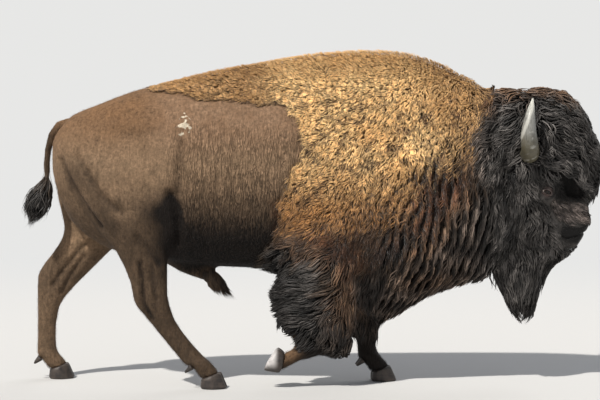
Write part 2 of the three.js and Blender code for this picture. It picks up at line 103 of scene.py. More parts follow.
# %% Values and finishes
class Value:
    def __init__(self, graph, socket):
        self.graph, self.socket = graph, socket

    def math(self, operation, a, b):
        return self.graph.node("ShaderNodeMath", {"operation": operation}, {0: a, 1: b})

    def __add__(self, other):
        return self.math("ADD", self, other)

    def __sub__(self, other):
        return self.math("SUBTRACT", self, other)

    def __rsub__(self, other):
        return self.math("SUBTRACT", other, self)

    def __mul__(self, other):
        return self.math("MULTIPLY", self, other)

    def __pow__(self, other):
        return self.math("POWER", self, other)

    __radd__, __rmul__ = __add__, __mul__


class Graph:
    def __init__(self, tree):
        self.tree = tree

    def node(self, kind, settings=None, sockets=None, out=0):
        made = self.tree.nodes.new(kind)
        for name, value in (settings or {}).items():
            setattr(made, name, value)
        for name, value in (sockets or {}).items():
            if isinstance(value, Value):
                self.tree.links.new(value.socket, made.inputs[name])
            else:
                made.inputs[name].default_value = value
        return Value(self, made.outputs[out])

    def place(self, scale=(1, 1, 1)):
        """Object coordinates, stretched by scale."""
        where = self.node("ShaderNodeTexCoord", out="Object")
        return self.node("ShaderNodeMapping", None, {"Vector": where, "Scale": scale})

    def noise(self, scale, detail=3, where=None, rough=0.55):
        return self.node("ShaderNodeTexNoise", None, {"Vector": where or self.place(), "Scale": scale,
                                                      "Detail": detail, "Roughness": rough})

    def step(self, value, low, high):
        """0 below low, 1 above high, smooth between."""
        return self.node("ShaderNodeMapRange", {"interpolation_type": "SMOOTHSTEP"},
                         {0: value, 1: low, 2: high})

    def mix(self, share, a, b, blend="MIX"):
        """Colour a, with b laid over it as thickly as share says."""
        a, b = (colour(c) if isinstance(c, str) else c for c in (a, b))
        return self.node("ShaderNodeMix", {"data_type": "RGBA", "blend_type": blend},
                         {0: share, 6: a, 7: b}, out=2)

    def layers(self, under, *over):
        """One colour after another laid over the first, each with its own share."""
        for share, shade in over:
            under = self.mix(share, under, shade)
        return under

    def mark(self, name):
        """The three numbers that the points of a piece keep under this name."""
        return self.split(self.node("ShaderNodeAttribute", {"attribute_name": name}, out="Color"))

    def split(self, value, kind="ShaderNodeSeparateColor"):
        parts = self.node(kind, None, {0: value}).socket.node
        return [Value(self, output) for output in parts.outputs]

    def axes(self):
        """How far forward, to the left and up each place is, in metres."""
        return self.split(self.place(), "ShaderNodeSeparateXYZ")

    def bump(self, height, strength, distance):
        return self.node("ShaderNodeBump", None,
                         {"Height": height, "Strength": strength, "Distance": distance})


class Finish(Graph):
    def __init__(self, name, **constants):
        self.material = bpy.data.materials.new(name)
        self.material.use_nodes = True
        super().__init__(self.material.node_tree)
        self.shader = self.tree.nodes["Principled BSDF"]
        for socket, value in constants.items():
            self.shader.inputs[socket.replace("_", " ")].default_value = value

    def feed(self, **sockets):
        for name, value in sockets.items():
            self.tree.links.new(value.socket, self.shader.inputs[name.replace("_", " ")])
        return self.material


def colour(text):
    """A written colour such as #c08a4a as the shader's own numbers."""
    parts = [int(text[i:i + 2], 16) / 255 for i in (1, 3, 5)]
    return (*[p / 12.92 if p <= 0.04045 else ((p + 0.055) / 1.055) ** 2.4 for p in parts], 1)


# %% [markdown]
# ## Floor and light
# A wide pale disc is the floor. Its colour fades into the plain background, so no
# horizon shows. A sun from high on the left models the coat, a weaker and much softer
# one fills in from behind, and the sky gives the rest.

# %% Floor, sky and lamps
PALE = (0.80, 0.80, 0.79, 1)
floor_shape = bmesh.new()
bmesh.ops.create_circle(floor_shape, cap_ends=True, segments=96, radius=60)
floor = link("floor", mesh_of(floor_shape, "floor"))
ground = Finish("pale floor", Roughness=0.9, Base_Color=(0.62, 0.61, 0.59, 1))
away = ground.node("ShaderNodeVectorMath", {"operation": "LENGTH"}, {0: ground.place()}, out="Value")
glow = ground.node("ShaderNodeEmission", None, {"Color": PALE})
lit = Value(ground, ground.shader.outputs[0])
blend = ground.node("ShaderNodeMixShader", None, {0: ground.step(away, 2.5, 9.0), 1: lit, 2: glow})
ground.tree.links.new(blend.socket, ground.tree.nodes["Material Output"].inputs["Surface"])
floor.data.materials.append(ground.material)

world = bpy.data.worlds.new("sky")
bpy.context.scene.world = world
world.use_nodes = True
sky = Graph(world.node_tree)
seen = [sky.node("ShaderNodeLightPath", out=ray) for ray in ("Is Camera Ray", "Is Glossy Ray")]
tone = sky.mix(seen[0].math("MAXIMUM", *seen), (0.25, 0.27, 0.31, 1), PALE)
sky.tree.links.new(tone.socket, sky.tree.nodes["Background"].inputs["Color"])


def sun(name, strength, azimuth, height, soft, tint=(1, 1, 1)):
    lamp = bpy.data.lights.new(name, "SUN")
    lamp.energy, lamp.angle, lamp.color = strength, math.radians(soft), tint
    a, h = math.radians(azimuth), math.radians(height)
    toward = Vector((math.sin(a) * math.cos(h), -math.cos(a) * math.cos(h), math.sin(h)))
    link(name, lamp).rotation_euler = toward.to_track_quat("Z", "Y").to_euler()


sun("key", 4.0, -38, 50, 2, (1, 0.97, 0.92))
sun("fill", 0.6, 150, 40, 40)

# %% [markdown]
# ## One surface round all the flesh
# The solids of flesh meet at thin cuts. To get one surface without a seam, a copy of
# each is grown by two millimetres, so that neighbours run into each other, and a voxel
# remesh draws an even skin of quads round the whole heap. Balls plug the pockets of the
# horns and eyes. The tail is thin and hangs close behind the rump, so it gets a finer
# mesh of its own, which runs on into the rump.

# %% Which solids are flesh
HARD = ("horn_", "eye_", "_claw_", "_dewclaw_")
flesh = sorted(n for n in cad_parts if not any(word in n for word in HARD))
flesh_number = {node: i for i, node in enumerate(flesh)}
VOXEL = 0.0135
TAIL_VOXEL = 0.007
TAIL = ["tail_dock", "tail_tuft"]
EYE = {side: (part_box(f"eye_{side}")[0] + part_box(f"eye_{side}")[1]) / 2 for side in ("right", "left")}
EYE_RADIUS = (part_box("eye_right")[1].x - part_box("eye_right")[0].x) / 2


def heap_of(nodes, grow):
    """Copies of some solids in one shape, each face knowing its node, swollen by grow metres."""
    heap = bmesh.new()
    layer = heap.faces.layers.int.new("node")
    for node in nodes:
        before = len(heap.faces)
        heap.from_mesh(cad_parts[node].data)
        heap.faces.ensure_lookup_table()
        for face in heap.faces[before:]:
            face[layer] = flesh_number.get(node, -1)
    bmesh.ops.remove_doubles(heap, verts=heap.verts, dist=1e-5)
    heap.normal_update()
    for vert in heap.verts:
        vert.co += vert.normal * grow
    return heap


whole = heap_of(flesh, 0.0)
heap_tree = BVHTree.FromBMesh(whole)
node_layer = whole.faces.layers.int["node"]
heap_node = [face[node_layer] for face in whole.faces]
whole.free()


def voxel_skin(shape, size):
    """The outside of a shape as one even sheet of quads."""
    made = link("heap", mesh_of(shape, "heap"))
    remesh = made.modifiers.new("Remesh", "REMESH")
    remesh.mode, remesh.voxel_size = "VOXEL", size
    result = bpy.data.meshes.new_from_object(made.evaluated_get(bpy.context.evaluated_depsgraph_get()))
    bpy.data.objects.remove(made)
    return result


# Each ball is a centre, mirrored to the other side too, and a radius, in metres.
HORN_PLUG = ((1.121, 0.155, 1.231), 0.062)
EYE_PLUG = ((1.222, 0.112, 1.028), 0.034)
trunk = heap_of([n for n in flesh if n not in TAIL], 0.002)
for sign in (-1, 1):
    for centre, radius in (HORN_PLUG, EYE_PLUG):
        place = Matrix.Translation((centre[0], sign * centre[1], centre[2]))
        bmesh.ops.create_icosphere(trunk, subdivisions=3, radius=radius, matrix=place)
both = bmesh.new()
for shape, size in ((trunk, VOXEL), (heap_of(TAIL, 0.001), TAIL_VOXEL)):
    part_mesh = voxel_skin(shape, size)
    both.from_mesh(part_mesh)
    print("quads:", len(part_mesh.polygons))
    bpy.data.meshes.remove(part_mesh)
skin_mesh = mesh_of(both, "skin")


# %% [markdown]
# ## Evening the skin
# A voxel remesh leaves small steps. Moving each point towards the middle of its
# neighbours takes them out, but shrinks the body, so each pass also swells it back.

# %% Even out the facets without shrinking
TAIL_FRONT, TAIL_MIDDLE, TAIL_HALF, TAIL_END = -1.28, 0.008, 0.06, 0.85


def read(items, name, width=3, kind=np.float64):
    found = np.empty(len(items) * width, np.float32 if kind == np.float64 else kind)
    items.foreach_get(name, found)
    found = found.astype(kind)
    return found.reshape(-1, width) if width > 1 else found


class Net:
    """The edges of a mesh, for averages over each point's neighbours."""

    def __init__(self, mesh):
        edges = read(mesh.edges, "vertices", 2, np.int32)
        self.size = len(mesh.vertices)
        self.here = np.concatenate([edges[:, 0], edges[:, 1]])
        self.there = np.concatenate([edges[:, 1], edges[:, 0]])
        self.count = np.bincount(self.here, minlength=self.size)[:, None]

    def mean(self, values):
        columns = [np.bincount(self.here, column[self.there], self.size) for column in values.T]
        return np.stack(columns, 1) / self.count

    def soften(self, values, times, share=0.5):
        for _ in range(times):
            values = values + share * (self.mean(values) - values)
        return values

    def even(self, points, times):
        """Smooths a shape, and after each pass swells it back by a little more."""
        for _ in range(times):
            points = self.soften(points, 1, 0.5)
            points = self.soften(points, 1, -0.52)
        return points


net = Net(skin_mesh)
points = read(skin_mesh.vertices, "co")
tail_point = (points[:, 0] < TAIL_FRONT) & (points[:, 2] > TAIL_END)
tail_point &= np.abs(points[:, 1] - TAIL_MIDDLE) < TAIL_HALF
points = np.where(tail_point[:, None], net.even(points, 6), net.even(points, 24))
place_points(skin_mesh, points)
print("points of the tail:", int(tail_point.sum()))

# %% [markdown]
# ## Finer where the face is
# Eyelids, nostrils and lips are far smaller than a voxel. Splitting the edges of the
# face once, and those round each eye twice more, gives them points to be shaped with
# while the rest of the skin stays light.

# %% Split the face's edges
def split_edges(shape, inside):
    edges = [e for e in shape.edges if inside(e.verts[0].co) and inside(e.verts[1].co)]
    bmesh.ops.subdivide_edges(shape, edges=edges, cuts=1, use_grid_fill=True)


def near_eye(reach):
    return lambda p: min((p - EYE["right"]).length, (p - EYE["left"]).length) < reach


skin_shape = bmesh.new()
skin_shape.from_mesh(skin_mesh)
split_edges(skin_shape, lambda p: p.x > 1.17 and 0.74 < p.z < 1.10)
split_edges(skin_shape, near_eye(0.075))
split_edges(skin_shape, near_eye(0.045))
bmesh.ops.triangulate(skin_shape, faces=skin_shape.faces)
skin_shape.to_mesh(skin_mesh)
skin_shape.free()
net = Net(skin_mesh)
outer = read(skin_mesh.vertices, "co")
face_share = np.clip((outer[:, 0] - 1.15) / 0.05, 0, 1)[:, None]
outer = outer + face_share * (net.even(outer, 4) - outer)
triangles = np.array([p.vertices[:] for p in skin_mesh.polygons])
print("skin:", len(outer), "points,", len(triangles), "triangles")

# %% [markdown]
# ## Where each coat grows
# A bison wears several coats at once: a golden cape, long dark wool on the neck and
# head, chaps on the forelegs and short hair behind. Outlines seen from the side say
# where one ends, and the solid that a point lies nearest to says the rest.

# %% Outlines of the coats, seen from the side, in metres
CAPE_REAR = [(-0.865, 1.575), (-0.680, 1.550), (-0.525, 1.525), (-0.280, 1.500), (-0.215, 1.505),
             (-0.150, 1.490), (-0.105, 1.450), (-0.060, 1.340), (-0.055, 1.280), (-0.070, 1.225),
             (-0.130, 1.120), (-0.155, 1.045), (-0.180, 0.970)]
CAPE_FOOT = [(-0.165, 0.910), (-0.085, 0.875), (0.020, 0.855), (0.150, 0.875), (0.255, 0.900),
             (0.360, 0.875), (0.440, 0.915), (0.500, 0.990), (0.540, 1.095), (0.595, 1.170),
             (0.710, 1.175), (0.765, 1.210), (0.805, 1.260), (0.855, 1.420), (0.880, 1.490),
             (0.900, 1.700)]
ABOVE = [(-1.3, 0.91)] + CAPE_FOOT + [(0.90, 2.0), (-1.3, 2.0)]
WOOL = CAPE_REAR + [(-0.19, 0.80), (-0.20, 0.60), (-0.30, 0.30), (1.8, 0.30), (1.8, 2.0), (-0.95, 2.0),
                    (-0.915, 1.70)]
RUST = [(-0.195, 0.965), (0.075, 0.990), (0.540, 1.175), (0.805, 1.305), (0.840, 1.120),
        (0.710, 0.965), (0.605, 0.795), (0.440, 0.720), (0.255, 0.660), (0.150, 0.690),
        (0.050, 0.745), (-0.085, 0.750), (-0.170, 0.785)]
BONNET = [(0.845, 1.540), (0.960, 1.650), (1.180, 1.650), (1.400, 1.600), (1.560, 1.250), (1.540, 1.020),
          (1.420, 0.990), (1.360, 1.010), (1.285, 1.105), (1.235, 1.090), (1.165, 1.070),
          (1.075, 1.110), (0.965, 1.095), (0.865, 1.065), (0.800, 1.170)]
HOLLOW = [(1.250, 1.050), (1.300, 1.090), (1.365, 1.100), (1.405, 1.030), (1.400, 0.990),
          (1.330, 0.980), (1.275, 0.985)]
BRIDGE = [(1.255, 0.970), (1.330, 0.970), (1.420, 0.985), (1.520, 0.930), (1.520, 0.870),
          (1.420, 0.860), (1.350, 0.860), (1.300, 0.885), (1.260, 0.925)]
FACE = [(1.170, 1.080), (1.285, 1.105), (1.370, 1.035), (1.430, 1.000), (1.600, 0.970), (1.600, 0.700),
        (1.300, 0.715), (1.260, 0.840), (1.240, 0.925), (1.185, 0.985), (1.165, 1.040)]


def within(outline, soft, flat):
    """1 inside the outline, 0 outside it, with an edge soft metres wide."""
    a = np.array(outline)
    b = np.roll(a, -1, 0)
    nearest = np.full(len(flat), 1e9)
    inside = np.zeros(len(flat), bool)
    for (ax, az), (bx, bz) in zip(a, b):
        run = np.array([bx - ax, bz - az])
        t = np.clip(((flat - (ax, az)) @ run) / (run @ run + 1e-12), 0, 1)
        gap = np.hypot(*(flat - (ax, az) - t[:, None] * run).T)
        nearest = np.minimum(nearest, gap)
        crosses = (az > flat[:, 1]) != (bz > flat[:, 1])
        at = ax + (flat[:, 1] - az) / (bz - az + 1e-12) * run[0]
        inside ^= crosses & (flat[:, 0] < at)
    t = np.clip(np.where(inside, nearest, -nearest) / soft + 0.5, 0, 1)
    return t * t * (3 - 2 * t)


def blob(x, z, wide, high, flat):
    """A soft spot, 1 in its middle."""
    return np.exp(-((flat[:, 0] - x) / wide) ** 2 - ((flat[:, 1] - z) / high) ** 2)


def spots(flat, *rows):
    """The sum of some soft spots, each a strength, a place, a breadth and a height."""
    return sum(strength * blob(*spot, flat) for strength, *spot in rows)


def ripple(at, size, seed):
    """A smooth random field between about -1 and 1, with waves of about the given size."""
    draw = np.random.default_rng(seed)
    total = np.zeros(len(at))
    for _ in range(9):
        way = draw.normal(size=3)
        way *= 2 * math.pi / size * draw.uniform(0.6, 1.6) / np.linalg.norm(way)
        total += np.sin(at @ way + draw.uniform(0, 6.28))
    return total / 3


side = outer[:, [0, 2]]
right = outer[:, 1] < 0
wobble = side + 0.012 * np.stack([ripple(outer, 0.10, 1), ripple(outer, 0.10, 2)], 1)
wool = within(WOOL, 0.02, wobble)
gold = within(ABOVE, 0.15, wobble) + 0.8 * blob(-0.080, 0.858, 0.090, 0.034, wobble)
gold = wool * np.clip(gold, 0, 1)
rust = within(RUST, 0.14, wobble) + 0.65 * right * blob(0.175, 0.55, 0.055, 0.17, wobble)
rust += wool * spots(wobble, (0.8, 0.915, 1.60, 0.060, 0.060), (0.35, 0.60, 0.62, 0.13, 0.055))
rust = np.clip(rust, 0, 1) * (1 - gold)
print("golden share of the points:", round(float(gold.mean()), 3))

# %% Which solid each point belongs to
LEGS = ("fore_right", "fore_left", "hind_right", "hind_left")
GROUPS = {
    "head": ["head"], "ears": ["ear_right", "ear_left"], "beard": ["beard"],
    "neck": ["neck"], "fore": ["forequarters"], "hind": ["hindquarters"],
    "chaps": ["fore_right_upper", "fore_left_upper"],
    "thighs": ["hind_right_upper", "hind_left_upper"],
    "shanks": [leg + "_lower" for leg in LEGS],
    "dock": ["tail_dock"], "brush": ["tail_tuft"], "sheath": ["sheath"],
}
nearest_node = np.array([heap_node[heap_tree.find_nearest(p)[2]] for p in outer.tolist()])
group_of = {n: g for g, nodes in GROUPS.items() for n in nodes}
member = np.stack([np.isin(nearest_node, [i for i, n in enumerate(flesh) if group_of[n] == g])
                   for g in GROUPS], 1).astype(float)
member = net.soften(member, 12)
part = dict(zip(GROUPS, member.T))
print({g: int((w > 0.5).sum()) for g, w in part.items()})

# %% [markdown]
# ## Fourteen coats and their measures
# Each kind of coat has its own depth over the skin, length and breadth of lock, wave,
# and size of the clumps that locks gather in. A point near a border takes a share of
# each, so that no line shows where one coat turns into the next. Lengths are in metres,
# and the spread of directions is in degrees.

# %% Shares of each kind of coat
def ease(value, low, high):
    """0 below low, 1 above high, and a smooth rise between."""
    t = np.clip((value - low) / (high - low), 0, 1)
    return t * t * (3 - 2 * t)


x, z = side.T
bonnet = part["head"] * within(BONNET, 0.03, side)
face = part["head"] * within(FACE, 0.03, side) * (1 - bonnet)
bridge = part["head"] * within(BRIDGE, 0.03, wobble) * (1 - bonnet)
front = part["neck"] + part["fore"]
rear = (part["hind"] + part["fore"]) * (1 - wool)
KINDS = {
    "cape": (front + part["hind"] + part["chaps"]) * np.clip(gold + 0.7 * rust, 0, 1),
    "mane": front * wool * np.clip(1 - gold - 0.7 * rust, 0, 1),
    "bonnet": bonnet,
    "face": face * (1 - bridge),
    "bridge": bridge,
    "cheek": part["head"] * np.clip(1 - bonnet - face - bridge, 0, 1),
    "beard": part["beard"],
    "chaps": part["chaps"] * (1 - gold) * (1 - 0.7 * rust),
    "short": rear + part["thighs"] + part["sheath"] * (x < -0.60),
    "tassel": part["sheath"] * (x >= -0.60),
    "shank": part["shanks"],
    "dock": part["dock"],
    "brush": part["brush"],
    "ear": part["ears"],
}
FIELDS = ("depth", "length", "breadth", "wave", "waves", "clump", "stretch", "gather", "spacing",
          "rings", "hang", "tip", "contrast", "spread")
MEASURES = {
    "cape":   (0.028, 0.036, 0.0066, 0.0055, 0.9, 0.022, 1.4, 0.72, 0.0077, 2, 0.00, 0.45, 0.85, 20),
    "mane":   (0.042, 0.140, 0.0105, 0.0040, 3.0, 0.032, 4.0, 0.70, 0.0118, 5, 0.25, 0.30, 1.20, 5),
    "bonnet": (0.062, 0.125, 0.0100, 0.0085, 1.6, 0.040, 1.5, 0.78, 0.0108, 5, 0.20, 0.30, 1.35, 14),
    "face":   (0.004, 0.021, 0.0040, 0.0006, 0.5, 0.012, 1.0, 0.30, 0.0062, 1, 0.00, 0.20, 0.80, 8),
    "bridge": (0.014, 0.055, 0.0055, 0.0020, 0.8, 0.018, 1.0, 0.50, 0.0062, 3, 0.25, 0.20, 1.45, 9),
    "cheek":  (0.032, 0.095, 0.0090, 0.0050, 1.6, 0.030, 2.0, 0.75, 0.0105, 4, 0.08, 0.25, 1.30, 10),
    "beard":  (0.030, 0.230, 0.0110, 0.0060, 2.2, 0.032, 2.5, 0.60, 0.0085, 5, 0.92, 0.25, 1.20, 6),
    "chaps":  (0.034, 0.160, 0.0110, 0.0050, 1.4, 0.040, 1.5, 0.74, 0.0125, 5, 0.70, 0.25, 1.25, 8),
    "short":  (0.004, 0.024, 0.0042, 0.0006, 0.5, 0.030, 1.0, 0.20, 0.0170, 1, 0.00, 0.20, 0.30, 7),
    "tassel": (0.006, 0.090, 0.0060, 0.0040, 1.0, 0.020, 1.0, 0.50, 0.0060, 3, 0.90, 0.20, 1.00, 12),
    "shank":  (0.004, 0.020, 0.0040, 0.0006, 0.5, 0.014, 1.0, 0.30, 0.0095, 1, 0.00, 0.20, 0.40, 7),
    "dock":   (0.002, 0.028, 0.0036, 0.0008, 0.5, 0.010, 1.0, 0.30, 0.0075, 1, 0.00, 0.20, 0.50, 8),
    "brush":  (0.014, 0.200, 0.0066, 0.0100, 1.4, 0.020, 1.0, 0.45, 0.0064, 4, 0.93, 0.20, 1.00, 19),
    "ear":    (0.008, 0.060, 0.0070, 0.0020, 0.8, 0.016, 1.0, 0.40, 0.0090, 2, 0.20, 0.20, 1.00, 14),
}
kinds = list(KINDS)
share = net.soften(np.clip(np.stack([KINDS[k] for k in kinds], 1), 0, 1), 3) + 1e-6
share /= share.sum(1, keepdims=True)
coat = dict(zip(kinds, share.T))
kind_of = share.argmax(1)
measure = dict(zip(FIELDS, (share @ np.array([MEASURES[k] for k in kinds])).T))
print({k: int((kind_of == i).sum()) for i, k in enumerate(kinds)})

# %% [markdown]
# ## Where a coat changes within itself
# Round the eye the hair is short and fine. The fringe over the brow hangs, and grows
# longer the higher it starts. Behind the horns the wool stands up in disorder, and on
# top of the hump it is shorter and finer. On the right chaps, the beard and the brush
# the locks end near the end of their solid.


# %% Change the measures
def change(where, **amounts):
    """Scales measures by 1 + amount, in full where the place counts as 1."""
    for name, amount in amounts.items():
        measure[name] *= 1 + amount * where


def shorten(where, longest):
    """Lets no lock be longer than longest where the place says so."""
    measure["length"] = np.where(where, np.minimum(measure["length"], longest), measure["length"])


eye_gap = np.linalg.norm(side - np.array(EYE["right"])[[0, 2]], axis=1)
change(np.exp(-(eye_gap / 0.085) ** 2) * part["head"], length=-0.80, breadth=-0.55)
change(0.75 * np.exp(-(eye_gap / 0.060) ** 2) * part["head"], depth=-1)
brow = ease(x, 1.28, 1.38) * bonnet * (z > 1.0)
skirt = coat["mane"] * ease(-z, -0.90, -0.70)
measure["hang"] = np.clip(measure["hang"] + 0.35 * brow + 0.45 * skirt, 0, 1)
change(brow, length=0.10)
shorten(brow > 0.3, 0.045 + 1.25 * np.clip(z - 0.99, 0, None))
nape = blob(0.95, 1.57, 0.080, 0.07, side) * np.exp(-(outer[:, 1] / 0.16) ** 2)
measure["spread"] += 4 * blob(1.09, 1.58, 0.09, 0.06, side)
measure["spread"] += 6 * nape
change(nape * (coat["bonnet"] < 0.5), length=0.7)
held_up = right & (np.abs(x + 0.05) < 0.20)
by_claw = np.where(held_up, np.exp(-((x + 0.17) / 0.03) ** 2), np.exp(-((z - 0.09) / 0.03) ** 2))
change(by_claw * part["shanks"], length=0.8, breadth=0.3)
change(spots(side, (0.45, 1.51, 1.05, 0.08, 0.08), (0.55, 1.10, 1.57, 0.09, 0.05)) * bonnet, depth=-1)
to_edge = np.minimum(0.062 + 0.8 * np.clip(x + 0.20, 0, None), 0.05 + 0.9 * np.clip(z - 0.27, 0, None))
ragged = np.clip(1 + 0.8 * ripple(outer, 0.075, 34), 0.45, 2.0)
shorten((coat["chaps"] > 0.4) & right, to_edge * ragged)
for name, lowest in (("beard", 0.35), ("brush", 0.88)):
    shorten(part[name] > 0.5, 0.100 + 0.9 * (z - lowest))
change(coat["cape"] * ease(z, 1.55, 1.68), length=-0.30, breadth=-0.25, contrast=-0.35, spread=-0.5)
for name in ("depth", "length", "breadth"):
    print(name, "mm:", round(measure[name].min() * 1000, 1), "to", round(measure[name].max() * 1000, 1))

# %% [markdown]
# ## Drawing the skin in by the depth of the coat
# The skin is moved inwards in small steps, with a little smoothing after each, so that
# hollows don't fold. Thin places, such as the tip of the beard, keep a core: nowhere
# does the skin come in by more than a third of the thickness, and the thickness may
# only grow slowly from one point to the next, so that a tip counts as thin too. The
# cores of the beard and of the tail's brush are also pulled up, because only hair
# reaches their ends. The left buttock, where a leg joins the rump at an edge, is
# rounded off first.


# %% The skin inside the coat
def normals(points):
    a, b, c = (points[triangles[:, k]] for k in range(3))
    flat = np.cross(b - a, c - a)
    total = np.zeros_like(points)
    for k in range(3):
        for axis in range(3):
            total[:, axis] += np.bincount(triangles[:, k], flat[:, axis], len(points))
    return total / (np.linalg.norm(total, axis=1, keepdims=True) + 1e-12)


outer_tree = BVHTree.FromPolygons(outer.tolist(), triangles.tolist())
out = normals(outer)
thick = np.ones(len(outer))
for i, (p, n) in enumerate(zip((outer - 0.002 * out).tolist(), (-out).tolist())):
    hit = outer_tree.ray_cast(p, n, 0.4)
    if hit[0] is not None:
        thick[i] = hit[3]
edge_length = np.linalg.norm(outer[net.here] - outer[net.there], axis=1)
for _ in range(14):
    np.minimum.at(thick, net.here, thick[net.there] + 1.2 * edge_length)
depth = net.soften(np.minimum(measure["depth"], 0.33 * thick)[:, None], 8)
tail_share = np.clip(part["dock"] + part["brush"], 0, 1)
buttock = ~right * blob(-1.32, 1.20, 0.13, 0.11, side) * (1 - tail_share)
inner = outer.copy()
inner += np.clip(1.3 * buttock[:, None], 0, 1) * (net.soften(inner, 45) - inner)
STEPS = 8
for _ in range(STEPS):
    inner -= normals(inner) * depth / STEPS
    inner = net.soften(inner, 1, 0.35 * (1 - 0.9 * face[:, None]))
for name, top, keep in (("beard", 0.58, 0.75), ("brush", 1.09, 0.70)):
    below = np.clip(top - inner[:, 2], 0, None) * part[name]
    inner[:, 2] += below * (1 - keep)
print("coat depth, mm:", round(depth.min() * 1000, 1), "to", round(depth.max() * 1000, 1))

# %% [markdown]
# ## Folds and muscles
# The hind half wears its hair so short that the muscles show. Grooves are drawn as
# lines on the skin and pressed in with a soft edge, and swellings are pressed out. The
# two sides differ, because each leg is at another point of its stride.

# %% Grooves: a side, a line, how wide and how deep, in metres
GROOVES = {
    "thigh front": ("right", [(-1.24, 1.21), (-1.175, 1.105), (-1.105, 1.00), (-1.01, 0.93)], 0.018, 0.017),
    "thigh back": ("right", [(-1.35, 1.20), (-1.29, 1.07), (-1.20, 0.93), (-1.135, 0.845)], 0.018, 0.022),
    "flank fold": ("right", [(-0.76, 1.03), (-0.725, 0.96), (-0.72, 0.86), (-0.73, 0.76)], 0.026, 0.030),
    "flank": ("right", [(-0.70, 1.29), (-0.71, 1.15), (-0.72, 1.03)], 0.024, 0.019),
    "rump": ("right", [(-0.80, 1.36), (-0.93, 1.33), (-1.06, 1.36)], 0.030, 0.009),
    "hock": ("right", [(-0.92, 0.66), (-0.91, 0.55), (-0.90, 0.445), (-0.865, 0.365)], 0.013, 0.018),
    "shin": ("right", [(-0.86, 0.64), (-0.85, 0.55), (-0.835, 0.47)], 0.014, 0.010),
    "stifle": ("right", [(-0.93, 0.80), (-0.86, 0.72), (-0.82, 0.66)], 0.018, 0.010),
    "far gaskin": ("left", [(-1.165, 0.805), (-1.28, 0.70), (-1.385, 0.575), (-1.425, 0.51)], 0.014, 0.015),
    "far tendon": ("left", [(-1.255, 0.67), (-1.32, 0.575), (-1.375, 0.47)], 0.012, 0.014),
    "far thigh": ("left", [(-1.30, 1.20), (-1.27, 1.06), (-1.22, 0.95), (-1.17, 0.86)], 0.018, 0.018),
    "far flank": ("left", [(-0.79, 1.29), (-0.80, 1.15), (-0.81, 0.99), (-0.83, 0.86)], 0.030, 0.020),
}


def stripe(line, wide, flat):
    """A soft stripe over a line of points, 1 in its middle."""
    nearest = np.full(len(flat), 1e9)
    for a, b in zip(np.array(line)[:-1], np.array(line)[1:]):
        t = np.clip(((flat - a) @ (b - a)) / ((b - a) @ (b - a)), 0, 1)
        nearest = np.minimum(nearest, np.hypot(*(flat - a - t[:, None] * (b - a)).T))
    return np.exp(-(nearest / wide) ** 2)


# %% Swellings: a side, a place, how broad, how high and how proud, in metres
SWELLINGS = {
    "hip": ("right", -0.72, 1.42, 0.07, 0.06, 0.009),
    "thigh": ("right", -0.97, 1.17, 0.15, 0.14, 0.014),
    "knee": ("right", -0.80, 1.00, 0.06, 0.08, 0.013),
    "buttock": ("right", -1.27, 1.28, 0.08, 0.12, 0.009),
    "belly": ("right", -0.66, 0.87, 0.05, 0.06, 0.012),
    "far hip": ("left", -0.76, 1.42, 0.07, 0.06, 0.009),
    "gaskin": ("right", -0.97, 0.82, 0.07, 0.09, 0.010),
    "hock point": ("right", -0.935, 0.52, 0.022, 0.04, 0.008),
    "hock side": ("right", -0.862, 0.50, 0.022, 0.05, 0.008),
    "croup": ("right", -1.08, 1.47, 0.10, 0.05, 0.008),
}
ON_SIDE = {"right": right, "left": ~right}
DEEPEST = 0.030
press = np.zeros(len(outer))
crease = np.zeros(len(outer))
facing = np.clip(np.abs(out[:, 1]) * 1.5, 0, 1)
for where, line, wide, deep in GROOVES.values():
    line_at = ON_SIDE[where] * facing * stripe(line, wide, side)
    press += deep * line_at
    crease = np.maximum(crease, line_at * deep / DEEPEST)
for where, *spot, proud in SWELLINGS.values():
    press -= proud * ON_SIDE[where] * facing * blob(*spot, side)
inner -= normals(inner) * press[:, None] * (coat["short"] + coat["shank"])[:, None]
print("deepest groove, mm:", round(press.max() * 1000, 1))

# %% [markdown]
# ## The face
# The eye sits in a ring of lids that hug the ball. Its opening is an almond that
# tilts down towards the nose. Seen from the side, every point near it has a place in
# that almond: inside it the skin goes behind the ball, on its rim it stands just
# proud of the ball, and outside it rolls over a lid and into a crease.

# %% Eyelids, hollow, nostril and lips
OPENING = (0.0190, 0.0105)
TILT = math.radians(-22)
SKIN_OFF_BALL = 0.0022
BEHIND_BALL = 0.004
# Each lies so many openings out from the middle of the eye, and is so wide and so high.
RIM = (1.35, 0.25, 0.003)
CREASE = (1.95, 0.22, -0.004)
UPPER_FOLD = (2.5, 0.3, 0.0035)


def along_lids(points, centre):
    """Places seen from the side, along the slit of the eye and across it."""
    dx, dz = points[:, 0] - centre[0], points[:, 2] - centre[2]
    return dx * math.cos(TILT) + dz * math.sin(TILT), -dx * math.sin(TILT) + dz * math.cos(TILT)


def ring_of(almond, out_by, wide, high):
    """A ring round the opening that stands up, or lies down where high is negative."""
    return high * np.exp(-((almond - out_by) / wide) ** 2)


